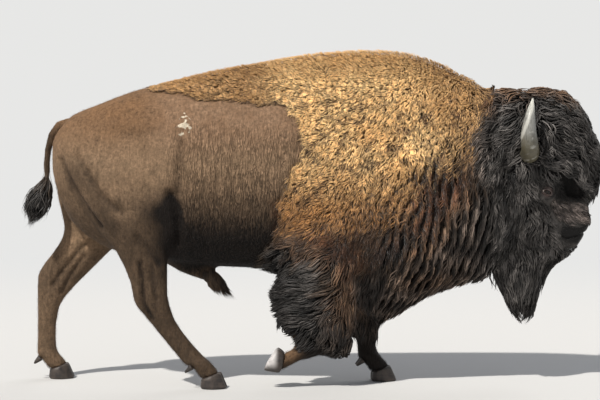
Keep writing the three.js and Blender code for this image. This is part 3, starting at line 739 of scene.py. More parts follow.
def shape_eye(points, side_name):
    centre = np.array(EYE[side_name])
    sign = np.sign(centre[1])
    u, v = along_lids(points, centre)
    half_high = np.where(v > 0, OPENING[1], OPENING[1] * 0.85)
    almond = np.hypot(u / OPENING[0], v / half_high)
    far = np.hypot(u, v)
    near = (np.sign(points[:, 1]) == sign) & (far < 0.085) & (np.abs(points[:, 1]) > 0.07)
    ball = (EYE_RADIUS + SKIN_OFF_BALL) ** 2 - np.minimum(far, OPENING[0]) ** 2
    lid = abs(centre[1]) + np.sqrt(np.clip(ball, 0, None)) + ring_of(almond, *RIM)
    lid += ring_of(almond, *CREASE)
    lid += ring_of(almond, *UPPER_FOLD) * (v > 0)
    hidden = abs(centre[1]) - BEHIND_BALL
    height = hidden + (lid - hidden) * ease(almond, 0.93, 1.06)
    blend = (1 - ease(far, 0.030, 0.075)) * near
    points = points.copy()
    points[:, 1] += sign * blend * (height - np.abs(points[:, 1]))
    return points


def dent(points, centre, reach, deep):
    """Presses in a soft hollow round a point, deep metres along the skin's normal, on both sides."""
    mirrored = points * (1, 0, 1) + np.abs(points) * (0, 1, 0)
    far = np.sqrt((((mirrored - centre) / reach) ** 2).sum(1))
    return points - normals(points) * (deep * np.exp(-far ** 2))[:, None]


EYE_HOLLOW = ((1.335, 0.115, 1.035), (0.050, 0.08, 0.045), 0.028)
NOSTRIL = ((1.452, 0.055, 0.874), (0.014, 0.030, 0.011), 0.020)
MOUTH = [(1.470, 0.812), (1.390, 0.787), (1.340, 0.776), (1.285, 0.792)]
inner = dent(inner, *EYE_HOLLOW)
for side_name in EYE:
    inner = shape_eye(inner, side_name)
inner = dent(inner, *NOSTRIL)
lips = stripe(MOUTH, 0.006, inner[:, [0, 2]]) * (inner[:, 0] > 1.25) * part["head"]
inner -= normals(inner) * (0.009 * lips)[:, None]
print("eyes at:", [tuple(round(c, 3) for c in spot) for spot in EYE.values()])

# %% [markdown]
# ## Ropes in the wool of the neck
# Where the neck bends, the wool parts into upright ropes with dark cracks between them.
# A wandering coordinate that runs round the neck counts the ropes, and its fraction
# says how far a hair lies from the middle of its rope.

# %% Ropes and cracks
ROPE = 0.054


def rope_bend(at):
    """How far the ropes lean back higher up, and the slope of that lean."""
    swing = (at[:, 2] - 1.25) / 0.05
    return 0.025 * np.log1p(np.exp(swing)), 0.5 / (1 + np.exp(-swing))


def off_rope(at):
    """How far each place is, with a sign, from the middle of its rope, and the slope of that."""
    wander = 0.015 * ripple(at, 0.25, 21) + 0.007 * ripple(at * (1, 1, 0.5), 0.10, 22)
    lean, slope = rope_bend(at)
    round_neck = at[:, 0] - 0.9 * np.abs(at[:, 1]) + lean + wander
    off = ((round_neck / ROPE) % 1 - 0.5) * ROPE
    across = np.stack([np.ones(len(at)), -0.9 * np.sign(at[:, 1]), slope], 1)
    return off, across


def to_lane(at, n, lane):
    """The step over skin that faces n to a lane so far from the middle of the rope."""
    off, across = off_rope(at)
    across = across - n * (across * n).sum(1, keepdims=True)
    return -across * ((off - lane) / np.maximum((across ** 2).sum(1), 0.15))[:, None]


def crack_at(at):
    """1 in a crack between two ropes, 0 away from it. Cracks widen and close along their run."""
    width = ROPE * np.clip(0.18 + 0.12 * ripple(at * (1, 1, 0.45), 0.11, 24), 0.03, 0.36)
    return np.exp(-((np.abs(off_rope(at)[0]) - ROPE / 2) / width) ** 2)


on_neck = ease(x, 0.27, 0.45) * (1 - ease(z, 1.22, 1.46)) * (1 - bonnet) * front
on_neck = on_neck * np.clip(0.75 + 0.6 * ripple(outer, 0.17, 25) + 0.5 * ease(-z, -1.10, -0.98), 0.15, 1)
on_front = 0.5 * ease(x, 0.08, 0.34) * ease(z, 0.86, 1.02) * (1 - ease(z, 1.56, 1.70)) * wool
on_front = on_front * front * np.clip(0.55 + 0.9 * ripple(outer, 0.13, 23), 0, 1)
roped = np.clip(np.maximum(on_neck, on_front), 0, 1)

# %% How far the coat rises over the skin, with dips between tufts
shaggy = coat["bonnet"] + coat["cheek"] + coat["chaps"] + 0.3 * coat["mane"]
dip = coat["cape"] * ease(-z, -1.64, -1.44) * ease(-ripple(outer * (1, 1, 0.75), 0.055, 35), 0.1, 0.9)
gap = shaggy * ease(-ripple(outer * (1, 1, 0.8), 0.085, 31), 0.15, 1.0) + 0.8 * dip
rise = np.minimum(np.linalg.norm(outer - inner, axis=1), 1.25 * depth[:, 0] + 0.004) * (1 - 0.55 * gap)
rise += 0.044 * nape * (0.35 + 0.65 * bonnet)
print("rise of the coat, mm:", round(rise.max() * 1000))

# %% [markdown]
# ## The skin's own map
# A map lays the skin out flat, so that its colours can be stored in an image. Smart
# projection cuts it into flat pieces by itself, which is enough where nobody paints on
# it by hand. Every lock takes its place on its own map from the spot it grows on.

# %% Unwrap the skin
place_points(skin_mesh, inner)
skin_mesh.update()
skin = link("skin", skin_mesh)
bpy.context.view_layer.objects.active = skin
skin.select_set(True)
bpy.ops.object.mode_set(mode="EDIT")
bpy.ops.mesh.select_all(action="SELECT")
bpy.ops.uv.smart_project(angle_limit=1.15, island_margin=0.002, scale_to_bounds=True)
bpy.ops.object.mode_set(mode="OBJECT")
skin_mesh.uv_layers.active.name = "OFBake"
corner_map = read(skin_mesh.uv_layers["OFBake"].data, "uv", 2).reshape(-1, 3, 2)
print("unwrapped corners:", corner_map.size // 2)

# %% [markdown]
# ## Markings and painted light
# Skin and coat read the same markings, so that a parting shows skin of the right
# colour. Each is a number from 0 to 1 at every point of the skin: golden cape, rusty
# shoulder, dark wool, pale rubs and painted glints on the lids, painted shade under the belly,
# in the folds, armpits and cracks together with the dark hair of legs and tail, and warm brown on the rump.

# %% Painted shade and dark hair in the coat
FLANK = [(-0.765, 0.985), (-0.74, 0.95), (-0.73, 0.68)]
HAUNCH = [(-1.22, 1.10), (-1.13, 0.96), (-1.05, 0.86)]
NOSE = [(1.31, 0.850), (1.40, 0.842), (1.47, 0.862), (1.60, 0.862), (1.60, 0.74), (1.43, 0.735),
        (1.33, 0.765), (1.30, 0.80)]
dark = wool + part["head"] + part["beard"] + part["brush"] + part["ears"] + part["chaps"] * (z < 0.78)
dark = np.clip(dark, 0, 1) * np.clip(1 - gold - rust, 0, 1) * (1 - 0.40 * bridge)
# Painted shade: the flank fold, the haunch groove and the hollows round the thigh are darkened in the
# colour; one spot lightens the lower thigh.
fold = 0.24 * stripe(FLANK, 0.085, side) + 0.32 * stripe(FLANK, 0.026, side)
fold += 0.22 * stripe(HAUNCH, 0.05, side)
fold += spots(side, (0.29, -0.830, 0.940, 0.100, 0.060), (0.28, -1.20, 1.13, 0.13, 0.085),
              (-0.22, -1.02, 0.905, 0.09, 0.045), (0.16, -0.80, 0.80, 0.06, 0.20),
              (0.35, -1.30, 1.12, 0.07, 0.11))
# Painted shade: the near thigh is darker towards the bottom, and the far hind leg is darker behind the near
# one, lighter in two spots on its gaskin. The lower legs are partly dark hair of their own.
near_leg = (0.64 * ease(-z, -1.16, -0.86) + 0.05 * ease(-z, -0.92, -0.74)) * part["thighs"]
far_leg = (0.35 + 0.25 * ease(-z, -0.95, -0.80)) * part["thighs"] + 0.42 * part["shanks"]
far_leg -= spots(side, (0.55, -1.32, 0.73, 0.09, 0.10), (0.45, -1.22, 0.76, 0.07, 0.07))
# Painted shade: the belly is darker towards the bottom, and the creases of the grooves and the open mouth
# are dark. The lower legs, the end of the dock and the sheath are dark hair of their own.
shade_and_dark_hair = ease(-z, -1.25, -0.76) * ease(x, -1.00, -0.62) * rear
shade_and_dark_hair += right * (fold + near_leg + 0.74 * part["shanks"]) + ~right * far_leg
shade_and_dark_hair += 0.9 * part["shanks"] * (x > -0.5) + 0.7 * part["dock"] * ease(-z, -1.42, -1.32)
shade_and_dark_hair += 0.75 * part["sheath"] + 0.40 * crease + 0.9 * blob(1.354, 0.757, 0.026, 0.016, side)
# Painted shade in the armpits between the forelegs, the chaps and the chest. The chaps are also darker
# towards the bottom.
armpit = front * spots(side, (1.0, 0.29, 0.66, 0.09, 0.15), (1.1, 0.430, 0.770, 0.120, 0.085),
                       (0.42, 0.37, 0.925, 0.13, 0.075), (0.45, -0.01, 0.80, 0.06, 0.055))
armpit += part["chaps"] * (spots(side, (1.1, -0.12, 0.58, 0.14, 0.20), (0.9, 0.31, 0.60, 0.08, 0.22))
                           + 0.8 * ease(-z, -0.52, -0.34))
# Painted shade under the ruff by the ear and in the dips between tufts. The beard is darkened as dark hair
# of its own.
temple = part["head"] * spots(side, (0.8, 0.945, 1.105, 0.085, 0.045), (0.7, 1.045, 1.16, 0.035, 0.05))
shade_and_dark_hair = np.clip(shade_and_dark_hair + temple + 0.84 * armpit + 0.5 * gap + 0.35 * part["beard"], 0, 1)
# The brown of the lifted pastern takes darkening away, and the hollow in front of the eye gets painted
# shade.
dusty = part["shanks"] * held_up * blob(-0.14, 0.19, 0.05, 0.06, side)
shade_and_dark_hair = np.clip(shade_and_dark_hair - 0.50 * dusty + 1.2 * part["head"] * within(HOLLOW, 0.03, side), 0, 1)
print("darkened share of the points:", round(float(shade_and_dark_hair.mean()), 3))

# %% Gold, rust, warm brown, pale rubs, painted glints and bare skin
in_light = 1 - 0.75 * np.clip(armpit, 0, 1)
gold, rust = gold * in_light, rust * in_light
warm = 0.5 * blob(-1.04, 1.47, 0.28, 0.12, side) * (1 - gold)
warm += 0.6 * bonnet * ease(z, 1.53, 1.60) + 0.5 * nape + 0.45 * dusty
# Painted highlights: small pale glints on the lids round the eyes, laid into the pale marks.
u, v = along_lids(inner, EYE["right"])
lid_glint = np.exp(-(u / 0.0045 + 4.7) ** 2 - (v / 0.0055) ** 2)
lid_glint += 0.7 * np.exp(-(u / 0.012) ** 2 - ((v - 0.0165) / 0.0035) ** 2)
pale = blob(-0.681, 1.382, 0.035, 0.055, side) * right * (0.5 + ripple(outer, 0.03, 5))
pale += part["head"] * lid_glint
# Painted shade: in the dips between clumps of the cape the gold turns rusty brown.
gold, rust = gold * (1 - 0.55 * dip), rust + 0.55 * dip * gold
lids = np.exp(-(eye_gap / 0.026) ** 4)
bare = np.clip(part["head"] * (within(NOSE, 0.02, side) + lids), 0, 1)
# Painted shade: in the cracks between ropes the skin is marked as dark wool, and shaded.
open_skin = 1 - 0.9 * np.clip(1.5 * roped * crack_at(outer), 0, 1)
marks = np.clip(np.stack([gold, rust, dark], 1), 0, 1)
skin_marks = np.stack([gold * open_skin, rust * open_skin, np.maximum(dark, 1 - open_skin)], 1)
more_marks = np.clip(np.stack([pale, shade_and_dark_hair, warm], 1), 0, 1)


def paint(mesh, name, values):
    """Stores three numbers at each point of a mesh, for its material to read."""
    layer = mesh.attributes.new(name, "FLOAT_COLOR", "POINT")
    full = np.ones((len(values), 4), np.float32)
    full[:, :3] = values
    layer.data.foreach_set("color", full.ravel())


paint(skin_mesh, "marks", np.clip(skin_marks, 0, 1))
# The skin's shade mark also takes the painted shade of the cracks.
paint(skin_mesh, "more_marks", np.maximum(more_marks, (1 - open_skin)[:, None] * (0, 1, 0)))
ribs = coat["short"] * (0.06 + 0.94 * ease(x, -0.85, -0.60) * ease(-z, -1.45, -1.25))
paint(skin_mesh, "skin_marks", np.stack([bare, measure["depth"] / 0.07, ribs], 1))

# %% [markdown]
# ## How the coat lies
# Hair is combed by nature in smooth streams. Each row is one stroke of the comb, seen
# from the right: a place, and the way the hair runs there, in degrees from straight
# ahead, so that 180 is backwards and 270 is down. Between strokes the way is an
# average that counts near ones most, and the left side mirrors the right.

# %% Strokes of the comb
STROKES = [
    (-1.33, 1.25, 255), (-1.33, 0.99, 265), (-1.12, 1.46, 205), (-1.18, 1.36, 220), (-1.02, 1.23, 235),
    (-1.12, 1.07, 240), (-0.86, 1.10, 250), (-0.86, 0.83, 265), (-0.71, 1.54, 192), (-0.60, 0.99, 262),
    (-0.50, 1.25, 245), (-0.40, 1.45, 218), (-0.34, 1.64, 186), (-0.29, 1.10, 262), (-0.34, 0.86, 266),
    (-0.45, 0.73, 205), (-0.08, 1.70, 188), (0.18, 1.75, 188), (0.02, 1.56, 203), (0.02, 1.36, 214),
    (-0.02, 1.15, 226), (-0.11, 0.99, 236), (0.14, 1.46, 214), (0.14, 1.20, 230), (0.13, 0.99, 240),
    (0.33, 1.62, 212), (0.33, 1.41, 234), (0.33, 1.20, 248), (0.33, 0.99, 262), (0.44, 1.75, 195),
    (0.65, 1.67, 215), (0.54, 1.56, 242), (0.54, 1.36, 262), (0.59, 1.20, 272), (0.75, 1.41, 257),
    (0.80, 1.25, 254), (0.80, 1.59, 250), (0.90, 1.55, 280), (0.44, 0.82, 262), (0.07, 0.82, 228),
    (-0.08, 0.83, 205), (0.18, 0.76, 255), (0.59, 0.99, 271), (0.70, 0.83, 272), (0.80, 1.04, 266),
    (0.65, 0.63, 250), (0.54, 0.55, 238), (0.44, 0.47, 236), (0.80, 0.63, 260), (0.91, 0.78, 262),
    (0.85, 0.91, 256), (0.33, 0.63, 262), (0.96, 1.46, 215), (0.91, 1.30, 222), (1.01, 1.36, 235),
    (0.86, 1.23, 228), (1.04, 1.23, 236), (0.96, 1.55, 190), (1.05, 1.56, 205), (1.17, 1.57, 352),
    (1.19, 1.45, 346), (1.27, 1.51, 332), (1.32, 1.41, 336), (1.40, 1.30, 322), (1.44, 1.17, 314),
    (1.27, 1.30, 344), (1.27, 1.18, 330), (1.19, 1.20, 318), (1.35, 1.08, 312), (1.45, 1.04, 305),
    (1.10, 1.14, 300), (1.17, 1.11, 302), (1.06, 1.07, 264), (1.06, 0.99, 262), (1.17, 0.93, 292),
    (1.23, 0.97, 312), (1.19, 0.86, 284), (1.11, 0.78, 268), (1.27, 0.81, 290), (1.01, 0.78, 258),
    (0.96, 0.67, 262), (1.06, 0.63, 268), (1.19, 0.67, 280), (1.01, 0.52, 266), (1.11, 0.52, 269),
    (1.17, 0.62, 272), (1.30, 0.94, 330), (1.40, 0.92, 334), (1.35, 0.88, 338), (1.33, 0.77, 300),
    (1.30, 1.03, 300), (-0.14, 0.73, 228), (-0.19, 0.55, 190), (-0.08, 0.42, 192), (0.02, 0.56, 202),
    (0.15, 0.67, 258), (0.18, 0.47, 264), (0.10, 0.32, 255), (0.24, 0.52, 267), (0.31, 0.32, 264),
]
BEARD_TIP = (1.140, 0, -0.40)


def unit(v):
    return v / (np.linalg.norm(v, axis=-1, keepdims=True) + 1e-12)


strokes = np.array(STROKES)
ways = np.radians(strokes[:, 2])
pull = 1 / (((side[:, None, :] - strokes[None, :, :2]) ** 2).sum(2) + 0.03 ** 2) ** 2
flow = np.zeros_like(outer)
flow[:, 0] = (pull @ np.cos(ways)) / pull.sum(1)
flow[:, 2] = (pull @ np.sin(ways)) / pull.sum(1)


def turn_comb(flow, where, way):
    """Turns the comb to another way, in full where the place counts as 1."""
    where = where[:, None]
    return flow * (1 - where) + where * np.array(way)


legs_and_tail = part["thighs"] * (z < 0.95) + part["shanks"] + part["dock"] + part["brush"]
flow = turn_comb(flow, np.clip(legs_and_tail + part["chaps"] * ~right * 0.7, 0, 1), (-0.12, 0, -1))
flow[:, 0] -= 0.22 * part["brush"]
flow = turn_comb(flow, part["shanks"] * held_up, (-1, 0, -0.35))
flow = turn_comb(flow, part["beard"], unit(np.array(BEARD_TIP) - outer))
flow = turn_comb(flow, part["sheath"] * (x >= -0.62), (0.35, 0, -1))
flow = unit(net.soften(flow, 6))
swirl = 16 * ripple(outer, 0.16, 8) * (1 - 0.8 * roped) + 20 * shaggy * ripple(outer, 0.09, 9)
swirl = np.radians(swirl) * (1 - coat["short"])
skin_out = normals(inner)
skin_tree = BVHTree.FromPolygons(inner.tolist(), triangles.tolist())
print("strokes:", len(STROKES))

# %% [markdown]
# ## Planting the locks
# Roots are thrown on the skin at random, evenly over its area. Space is then divided
# into cells as wide as the gap between locks, and only the first root in each cell
# stays, which spaces them as evenly as fur needs.


# %% Roots
def typical(kind, field):
    """One measure of one kind of coat, as its table gives it."""
    return MEASURES[kind][FIELDS.index(field)]


def at_face(values, faces_at, weights):
    """Values kept at the points of the skin, read inside its faces."""
    columns = values.reshape(len(values), -1)
    found = np.einsum("nk,nkc->nc", weights, columns[triangles[faces_at]])
    return found if values.ndim > 1 else found[:, 0]


def plant(kind):
    """Faces and corner weights of the roots of one kind of coat."""
    mine = np.flatnonzero(kind_of[triangles[:, 0]] == kinds.index(kind))
    a, b, c = (inner[triangles[mine, k]] for k in range(3))
    area = np.linalg.norm(np.cross(b - a, c - a), axis=1) / 2
    gap = typical(kind, "spacing")
    count = int(area.sum() / gap ** 2 * 4)
    face_at = mine[chance.choice(len(mine), count, p=area / area.sum())]
    u, v = chance.random((2, count))
    u, v = np.where(u + v > 1, 1 - u, u), np.where(u + v > 1, 1 - v, v)
    weights = np.stack([1 - u - v, u, v], 1)
    spot = at_face(inner, face_at, weights)
    _, first = np.unique(np.floor(spot / gap).astype(int), axis=0, return_index=True)
    first = first[chance.random(len(first)) > at_face(bare, face_at[first], weights[first])]
    parted = at_face(roped, face_at[first], weights[first]) * crack_at(spot[first])
    first = first[parted < 0.5]
    return face_at[first], weights[first]


def nearest_face(places):
    """For each place, the nearest face of the skin and the corner weights in that face."""
    faces_at = np.array([skin_tree.find_nearest(p)[2] for p in places.tolist()])
    a, b, c = (inner[triangles[faces_at, k]] for k in range(3))
    ab, ac, ap = b - a, c - a, places - a
    d00, d01, d11 = (ab * ab).sum(1), (ab * ac).sum(1), (ac * ac).sum(1)
    d20, d21 = (ap * ab).sum(1), (ap * ac).sum(1)
    low = d00 * d11 - d01 * d01 + 1e-18
    v = np.clip((d11 * d20 - d01 * d21) / low, 0, 1)
    w = np.clip((d00 * d21 - d01 * d20) / low, 0, 1)
    over = np.maximum(v + w, 1)
    v, w = v / over, w / over
    return faces_at, np.stack([1 - v - w, v, w], 1)


# %% [markdown]
# ## Combing and clumping
# A lock grows step by step. At each step it follows the lie of the coat and is held at
# its own height between the skin and the outline of the animal, or hangs free where
# the wool is long. Then locks lean towards the leader of their clump, and wave.


# %% Grow the middle line of every lock
def comb(kind, faces_at, weights):
    """Middle lines (lock, step, xyz), the skin's normal at each step, and the locks' measures."""
    lock = {f: at_face(measure[f], faces_at, weights) for f in FIELDS}
    count, steps = len(faces_at), typical(kind, "rings") + 1
    n = root_out = unit(at_face(skin_out, faces_at, weights))
    spot = here = at_face(inner, faces_at, weights)
    roped_root = at_face(roped, faces_at, weights)
    length = lock["length"] * chance.uniform(0.75, 1.25, count)
    height = chance.uniform(0.62, 1.0, count)
    turn = np.radians(chance.normal(0, 1, count) * lock["spread"])
    lane = 0.60 * off_rope(spot)[0]
    way = None
    line, ups, ropes = [spot - n * 0.004], [n], [roped_root]
    for k in range(1, steps + 1):
        s = k / steps
        f = at_face(flow, faces_at, weights)
        into = (f * n).sum(1, keepdims=True)
        keep = np.where(into < 0, 1, 1 - lock["hang"][:, None])
        f = unit(f - n * into * keep)
        spin = (turn + at_face(swirl, faces_at, weights))[:, None]
        f = f * np.cos(spin) + np.cross(n, f) * np.sin(spin)
        way = f if way is None else unit(0.45 * way + 0.55 * f)
        here = here + way * (length / steps)[:, None]
        ropes.append(at_face(roped, faces_at, weights))
        here = here + 0.55 * ropes[-1][:, None] * to_lane(here, n, lane)
        valley = np.exp(-((np.abs(off_rope(here)[0]) - ROPE / 2) / (0.3 * ROPE)) ** 2) * ropes[-1]
        faces_at, weights = nearest_face(here)
        base = at_face(inner, faces_at, weights)
        n = unit(at_face(skin_out, faces_at, weights))
        want = at_face(rise, faces_at, weights) * height * (1 - (1 - min(1, s * 1.5)) ** 2)
        want = want * (1 - 0.85 * valley)
        now = ((here - base) * n).sum(1)
        free = (now > want) | (np.linalg.norm(here - base, axis=1) > want + 0.004)
        hold = np.where(free, 1 - lock["hang"], 1)
        here = here + n * ((want - now) * hold)[:, None]
        line.append(here)
        ups.append(n)
    lock["roped"] = np.stack(ropes, 1)
    lock["clump_at"] = spot + 0.9 * roped_root[:, None] * to_lane(spot, root_out, 0)
    lock["gather"] = lock["gather"] * (1 - 0.55 * roped_root)
    return np.stack(line, 1), np.stack(ups, 1), lock


def gather(line, ups, lock, kind):
    """Leans each lock to its clump's leader and waves it. Gives the clumps' tones too."""
    roots = line[:, 0]
    squeezed = lock["clump_at"] / (1, 1, typical(kind, "stretch"))
    cell = np.floor(squeezed / typical(kind, "clump")).astype(int)
    _, leaders = np.unique(cell, axis=0, return_index=True)
    tree = KDTree(len(leaders))
    for i, r in enumerate(squeezed[leaders].tolist()):
        tree.insert(r, i)
    tree.balance()
    clump = np.array([tree.find(r)[1] for r in squeezed.tolist()])
    leader = leaders[clump]
    s = np.linspace(0, 1, line.shape[1])[None, :, None]
    lean = lock["gather"][:, None, None] * s ** 1.3
    ahead = unit(np.gradient(line, axis=1))
    aside = np.cross(ahead, ups)
    apart = roots - roots[leader]
    drop = (apart * (0, 0, 1))[:, None, :]
    rest = (apart * (1, 1, 0))[:, None, :] * (0.45 if kind == "cape" else 0.25)
    made = line + lean * (line[leader] + drop + rest - line)
    clump_phase = np.random.default_rng(3).uniform(0, 6.28, len(leaders))[clump]
    phase = (clump_phase + chance.normal(0, 0.5, len(line)))[:, None, None]
    swing = 2 * math.pi * lock["waves"][:, None, None] * s + phase
    swell = lock["wave"][:, None, None] * s ** 0.6
    made = made + aside * np.sin(swing) * swell + ups * np.cos(swing) * swell * 0.5
    tone = np.random.default_rng(4).random(len(leaders))[clump]
    return made, tone


# %% [markdown]
# ## From lines to locks
# Each line becomes a closed, tapered lock with three sides: a point at the root, a few
# rings that swell and narrow again, and a point at the tip. It is flat underneath and
# ridged on top, so that it catches the light as a lock of hair does.

# %% The faces of a lock, and where each corner lies on it
# How much of the map's width a lock takes up round the place of its root.
PATCH = 0.003


def lock_faces(rings):
    """Corners of the triangles of one lock: the root's point, three to a ring, the tip's point."""
    last = 1 + 3 * (rings - 1)
    faces = [(0, 1 + (k + 1) % 3, 1 + k) for k in range(3)]
    for first in range(1, last, 3):
        for k in range(3):
            a, b = first + k, first + (k + 1) % 3
            faces += [(a, b, a + 3), (b, b + 3, a + 3)]
    return np.array(faces + [(last + k, last + (k + 1) % 3, last + 3) for k in range(3)])


def corner_layer(mesh, name, places, corners):
    """A map of a piece, from a place for each of its points."""
    layer = mesh.uv_layers.new(name=name)
    layer.data.foreach_set("uv", places.reshape(-1, 2)[corners].astype(np.float32).ravel())


# %% Build the mesh of one piece of coat
def lock_mesh(name, line, ups, lock, tone, root_map, root_marks, root_more):
    count, points_each = line.shape[:2]
    rings, each = points_each - 2, 3 * (points_each - 2) + 2
    s = np.linspace(0, 1, points_each)
    swell = np.interp(s, [0, 0.3, 0.6], [0.75, 1.0, 0.9])
    swell[-2:] = lock["tip"].mean(), 0.2
    ahead = unit(np.gradient(line, axis=1))
    aside = unit(np.cross(ahead, ups))
    over = np.cross(aside, ahead)
    wide = (lock["breadth"] * chance.uniform(0.75, 1.2, count))[:, None, None] * swell[None, :, None] / 2
    sides = [over * wide * 0.60, -aside * wide - over * wide * 0.30, aside * wide - over * wide * 0.30]
    body = np.stack([line + c for c in sides], 2)[:, 1:-1]
    verts = np.concatenate([line[:, :1], body.reshape(count, -1, 3), line[:, -1:]], 1)
    corners = (lock_faces(rings)[None] + each * np.arange(count)[:, None, None]).reshape(-1)
    mesh = bpy.data.meshes.new(name)
    mesh.vertices.add(count * each)
    place_points(mesh, verts)
    mesh.loops.add(len(corners))
    mesh.loops.foreach_set("vertex_index", corners.astype(np.int32))
    mesh.polygons.add(len(corners) // 3)
    mesh.polygons.foreach_set("loop_start", np.arange(0, len(corners), 3, dtype=np.int32))
    mesh.polygons.foreach_set("use_smooth", np.ones(len(corners) // 3, bool))
    along = np.concatenate([[0], np.repeat(s[1:-1], 3), [1]])
    across = np.concatenate([[0.5], np.tile([0.5, 0.0, 1.0], rings), [0.5]])
    patch = np.stack([along - 0.5, across - 0.5], 1) * PATCH
    corner_layer(mesh, "OFBake", np.clip(root_map[:, None, :] + patch[None], 0, 1), corners)
    own_place = chance.random((count, 2))[:, None, :] * 40
    size = np.stack([lock["length"] * 30, lock["breadth"] * 900], 1)[:, None]
    corner_layer(mesh, "Fibre", own_place + np.stack([along, across], 1)[None] * size, corners)
    mesh.update(calc_edges=True)
    mesh.validate()
    paint(mesh, "marks", np.repeat(root_marks, each, 0))
    paint(mesh, "more_marks", np.repeat(root_more, each, 0))
    own_tone = np.repeat(chance.random(count), each)
    parted = lock["roped"]
    parted = np.concatenate([parted[:, :1], np.repeat(parted[:, 1:-1], 3, 1), parted[:, -1:]], 1).ravel()
    # Painted light and shade on the ropes: the middle of each rope is lighter, the locks in its cracks
    # darker.
    shaded = np.ones(len(parted))
    roped_here = parted > 0.02
    shaded[roped_here] += parted[roped_here] * (0.30 - 1.27 * crack_at(verts.reshape(-1, 3)[roped_here]))
    # Painted light and shade on each lock: its ridge lighter and its two lower sides darker.
    on_ridge = np.tile(np.concatenate([[1], np.tile([1.1, 0.55, 0.55], rings), [1]]), count)
    strand = [np.tile(along, count) * on_ridge, np.repeat(tone, each) * on_ridge, own_tone]
    contrast = np.repeat(lock["contrast"], each)[:, None]
    strand = np.clip(0.5 + (np.stack(strand, 1) - 0.5) * contrast, 0.01, 2)
    paint(mesh, "strand", strand * shaded[:, None])
    return link(name, mesh)


# %% [markdown]
# ## The colours of skin and coat
# One recipe colours both. It starts from the grey-brown of the short coat, then lays
# painted shade mixed with dark hair, warm brown, dark wool, rust and gold over it where the markings say,
# each with its own cloudy variation. A lock is also darker at its root and lighter at its tip, partly its
# own colour and partly painted shade and light, and differs a little from its neighbours, as clumps of wool
# do.


# %% Patterns that the recipe uses
def crinkles(finish):
    """Upright wavy ridges of skin about two centimetres apart."""
    settings = {"wave_type": "BANDS", "bands_direction": "X", "wave_profile": "SIN"}
    return finish.node("ShaderNodeTexWave", settings,
                       {"Vector": finish.place((1, 0.4, 0.22)), "Scale": 19, "Distortion": 24, "Detail": 3,
                        "Detail Scale": 1.3, "Detail Roughness": 0.6})


def curl_edges(finish):
    """1 on the thin lines between one curl of wool and the next, 0 on the curls: the lines where painted
    shade goes.
    """
    stir = {"Vector": finish.place(), "Scale": 22, "Detail": 2}
    where = finish.node("ShaderNodeVectorMath", {"operation": "MULTIPLY_ADD"},
                        {0: finish.node("ShaderNodeTexNoise", None, stir, out=1),
                         1: (0.045, 0.045, 0.045), 2: finish.place((1, 1, 0.7))})
    edge = finish.node("ShaderNodeTexVoronoi", {"feature": "DISTANCE_TO_EDGE"},
                       {"Vector": where, "Scale": 30})
    return 1 - finish.step(edge, 0.02, 0.17)


# %% The shared recipe
def coat_hair(finish, broad, middle, fine):
    """The colour of the hair before the light and dark of single locks."""
    gold_at, rust_at, dark_at = finish.mark("marks")
    pale_at, shade_and_dark_hair_at, warm_at = finish.mark("more_marks")
    forward, _, height = finish.axes()
    clouds, soft_clouds = finish.step(middle, 0.35, 0.7), finish.step(middle, 0.3, 0.7)
    behind_head = finish.step(0.98 - forward, 0, 0.2) * finish.step(forward, -0.06, 0.08)
    strip = finish.step(-0.12 - forward, 0.0, 0.25) * finish.step(height, 1.40, 1.50)
    upper = finish.layers(finish.mix(clouds, "#90735a", "#765c46"),
                          (finish.step(-0.75 - forward, 0, 0.2) * 0.7, "#6f543b"))
    lower = finish.mix(clouds, "#92775d", "#725d48")
    # The dark wool turns near black where painted shade lies.
    black = finish.layers(finish.mix(soft_clouds, "#2f2d2b", "#504c49"),
                          (behind_head, finish.mix(soft_clouds, "#2b2521", "#51463e")),
                          (shade_and_dark_hair_at * 0.85, "#131110"))
    honey = finish.layers(finish.mix(finish.step(broad, 0.3, 0.7), "#dab178", "#e9c891"),
                          (finish.step(middle, 0.35, 0.8) * 0.55, "#ab7e4b"),
                          (finish.step(1.30 - height, 0.0, 0.42), "#966c40"),
                          (finish.step(height, 1.58, 1.74) * 0.50, "#a87d4c"),
                          (strip * 0.75, "#936c44"),
                          (finish.step(forward, 0.45, 0.80) * 0.6, "#8a6238"))
    return finish.layers(upper,
                         (finish.step(1.33 - height + broad * 0.15, 0.0, 0.25), lower),
                         (finish.step(forward, 1.10, 1.20), "#867870"),
                         # Painted shade, together with the dark hair of legs and tail.
                         (shade_and_dark_hair_at, "#1b1613"),
                         (dark_at, black),
                         (rust_at, finish.mix(soft_clouds, "#38251a", "#5c3a25")),
                         (gold_at, honey),
                         (warm_at * 0.8, "#7c5a3c"),
                         (finish.step(pale_at + fine * 0.4, 0.55, 0.75), "#cdbfa8"))


def lock_light(finish, broad):
    """How light each place on a lock is: darker at its root and lighter at its tip, partly its own colour
    and partly painted shade and light, and its clump and itself a tone apart.
    """
    gold_at, height = finish.mark("marks")[0], finish.axes()[2]
    at, clump_tone, own_tone = finish.mark("strand")
    light = 0.06 + 0.85 * at + 1.40 * clump_tone ** 3 + 0.95 * own_tone ** 3
    soft = 0.30 + 0.92 * at * (2 - at) + 0.55 * clump_tone + 0.30 * own_tone
    light = light + gold_at * (soft - light)
    # Painted shade where root, clump and lock are all dark.
    light = light * (0.25 + 0.75 * finish.step(at + clump_tone + own_tone, 0.0, 0.25))
    # Painted shade on thin lines between the curls of the cape, with the curls between them a little
    # lighter.
    crinkled = finish.step(1.75 - height, 0.0, 0.2) * (0.25 + 0.45 * finish.step(broad, 0.35, 0.6))
    return light * (1.0 + gold_at * (0.05 + crinkled * (0.36 - curl_edges(finish))))


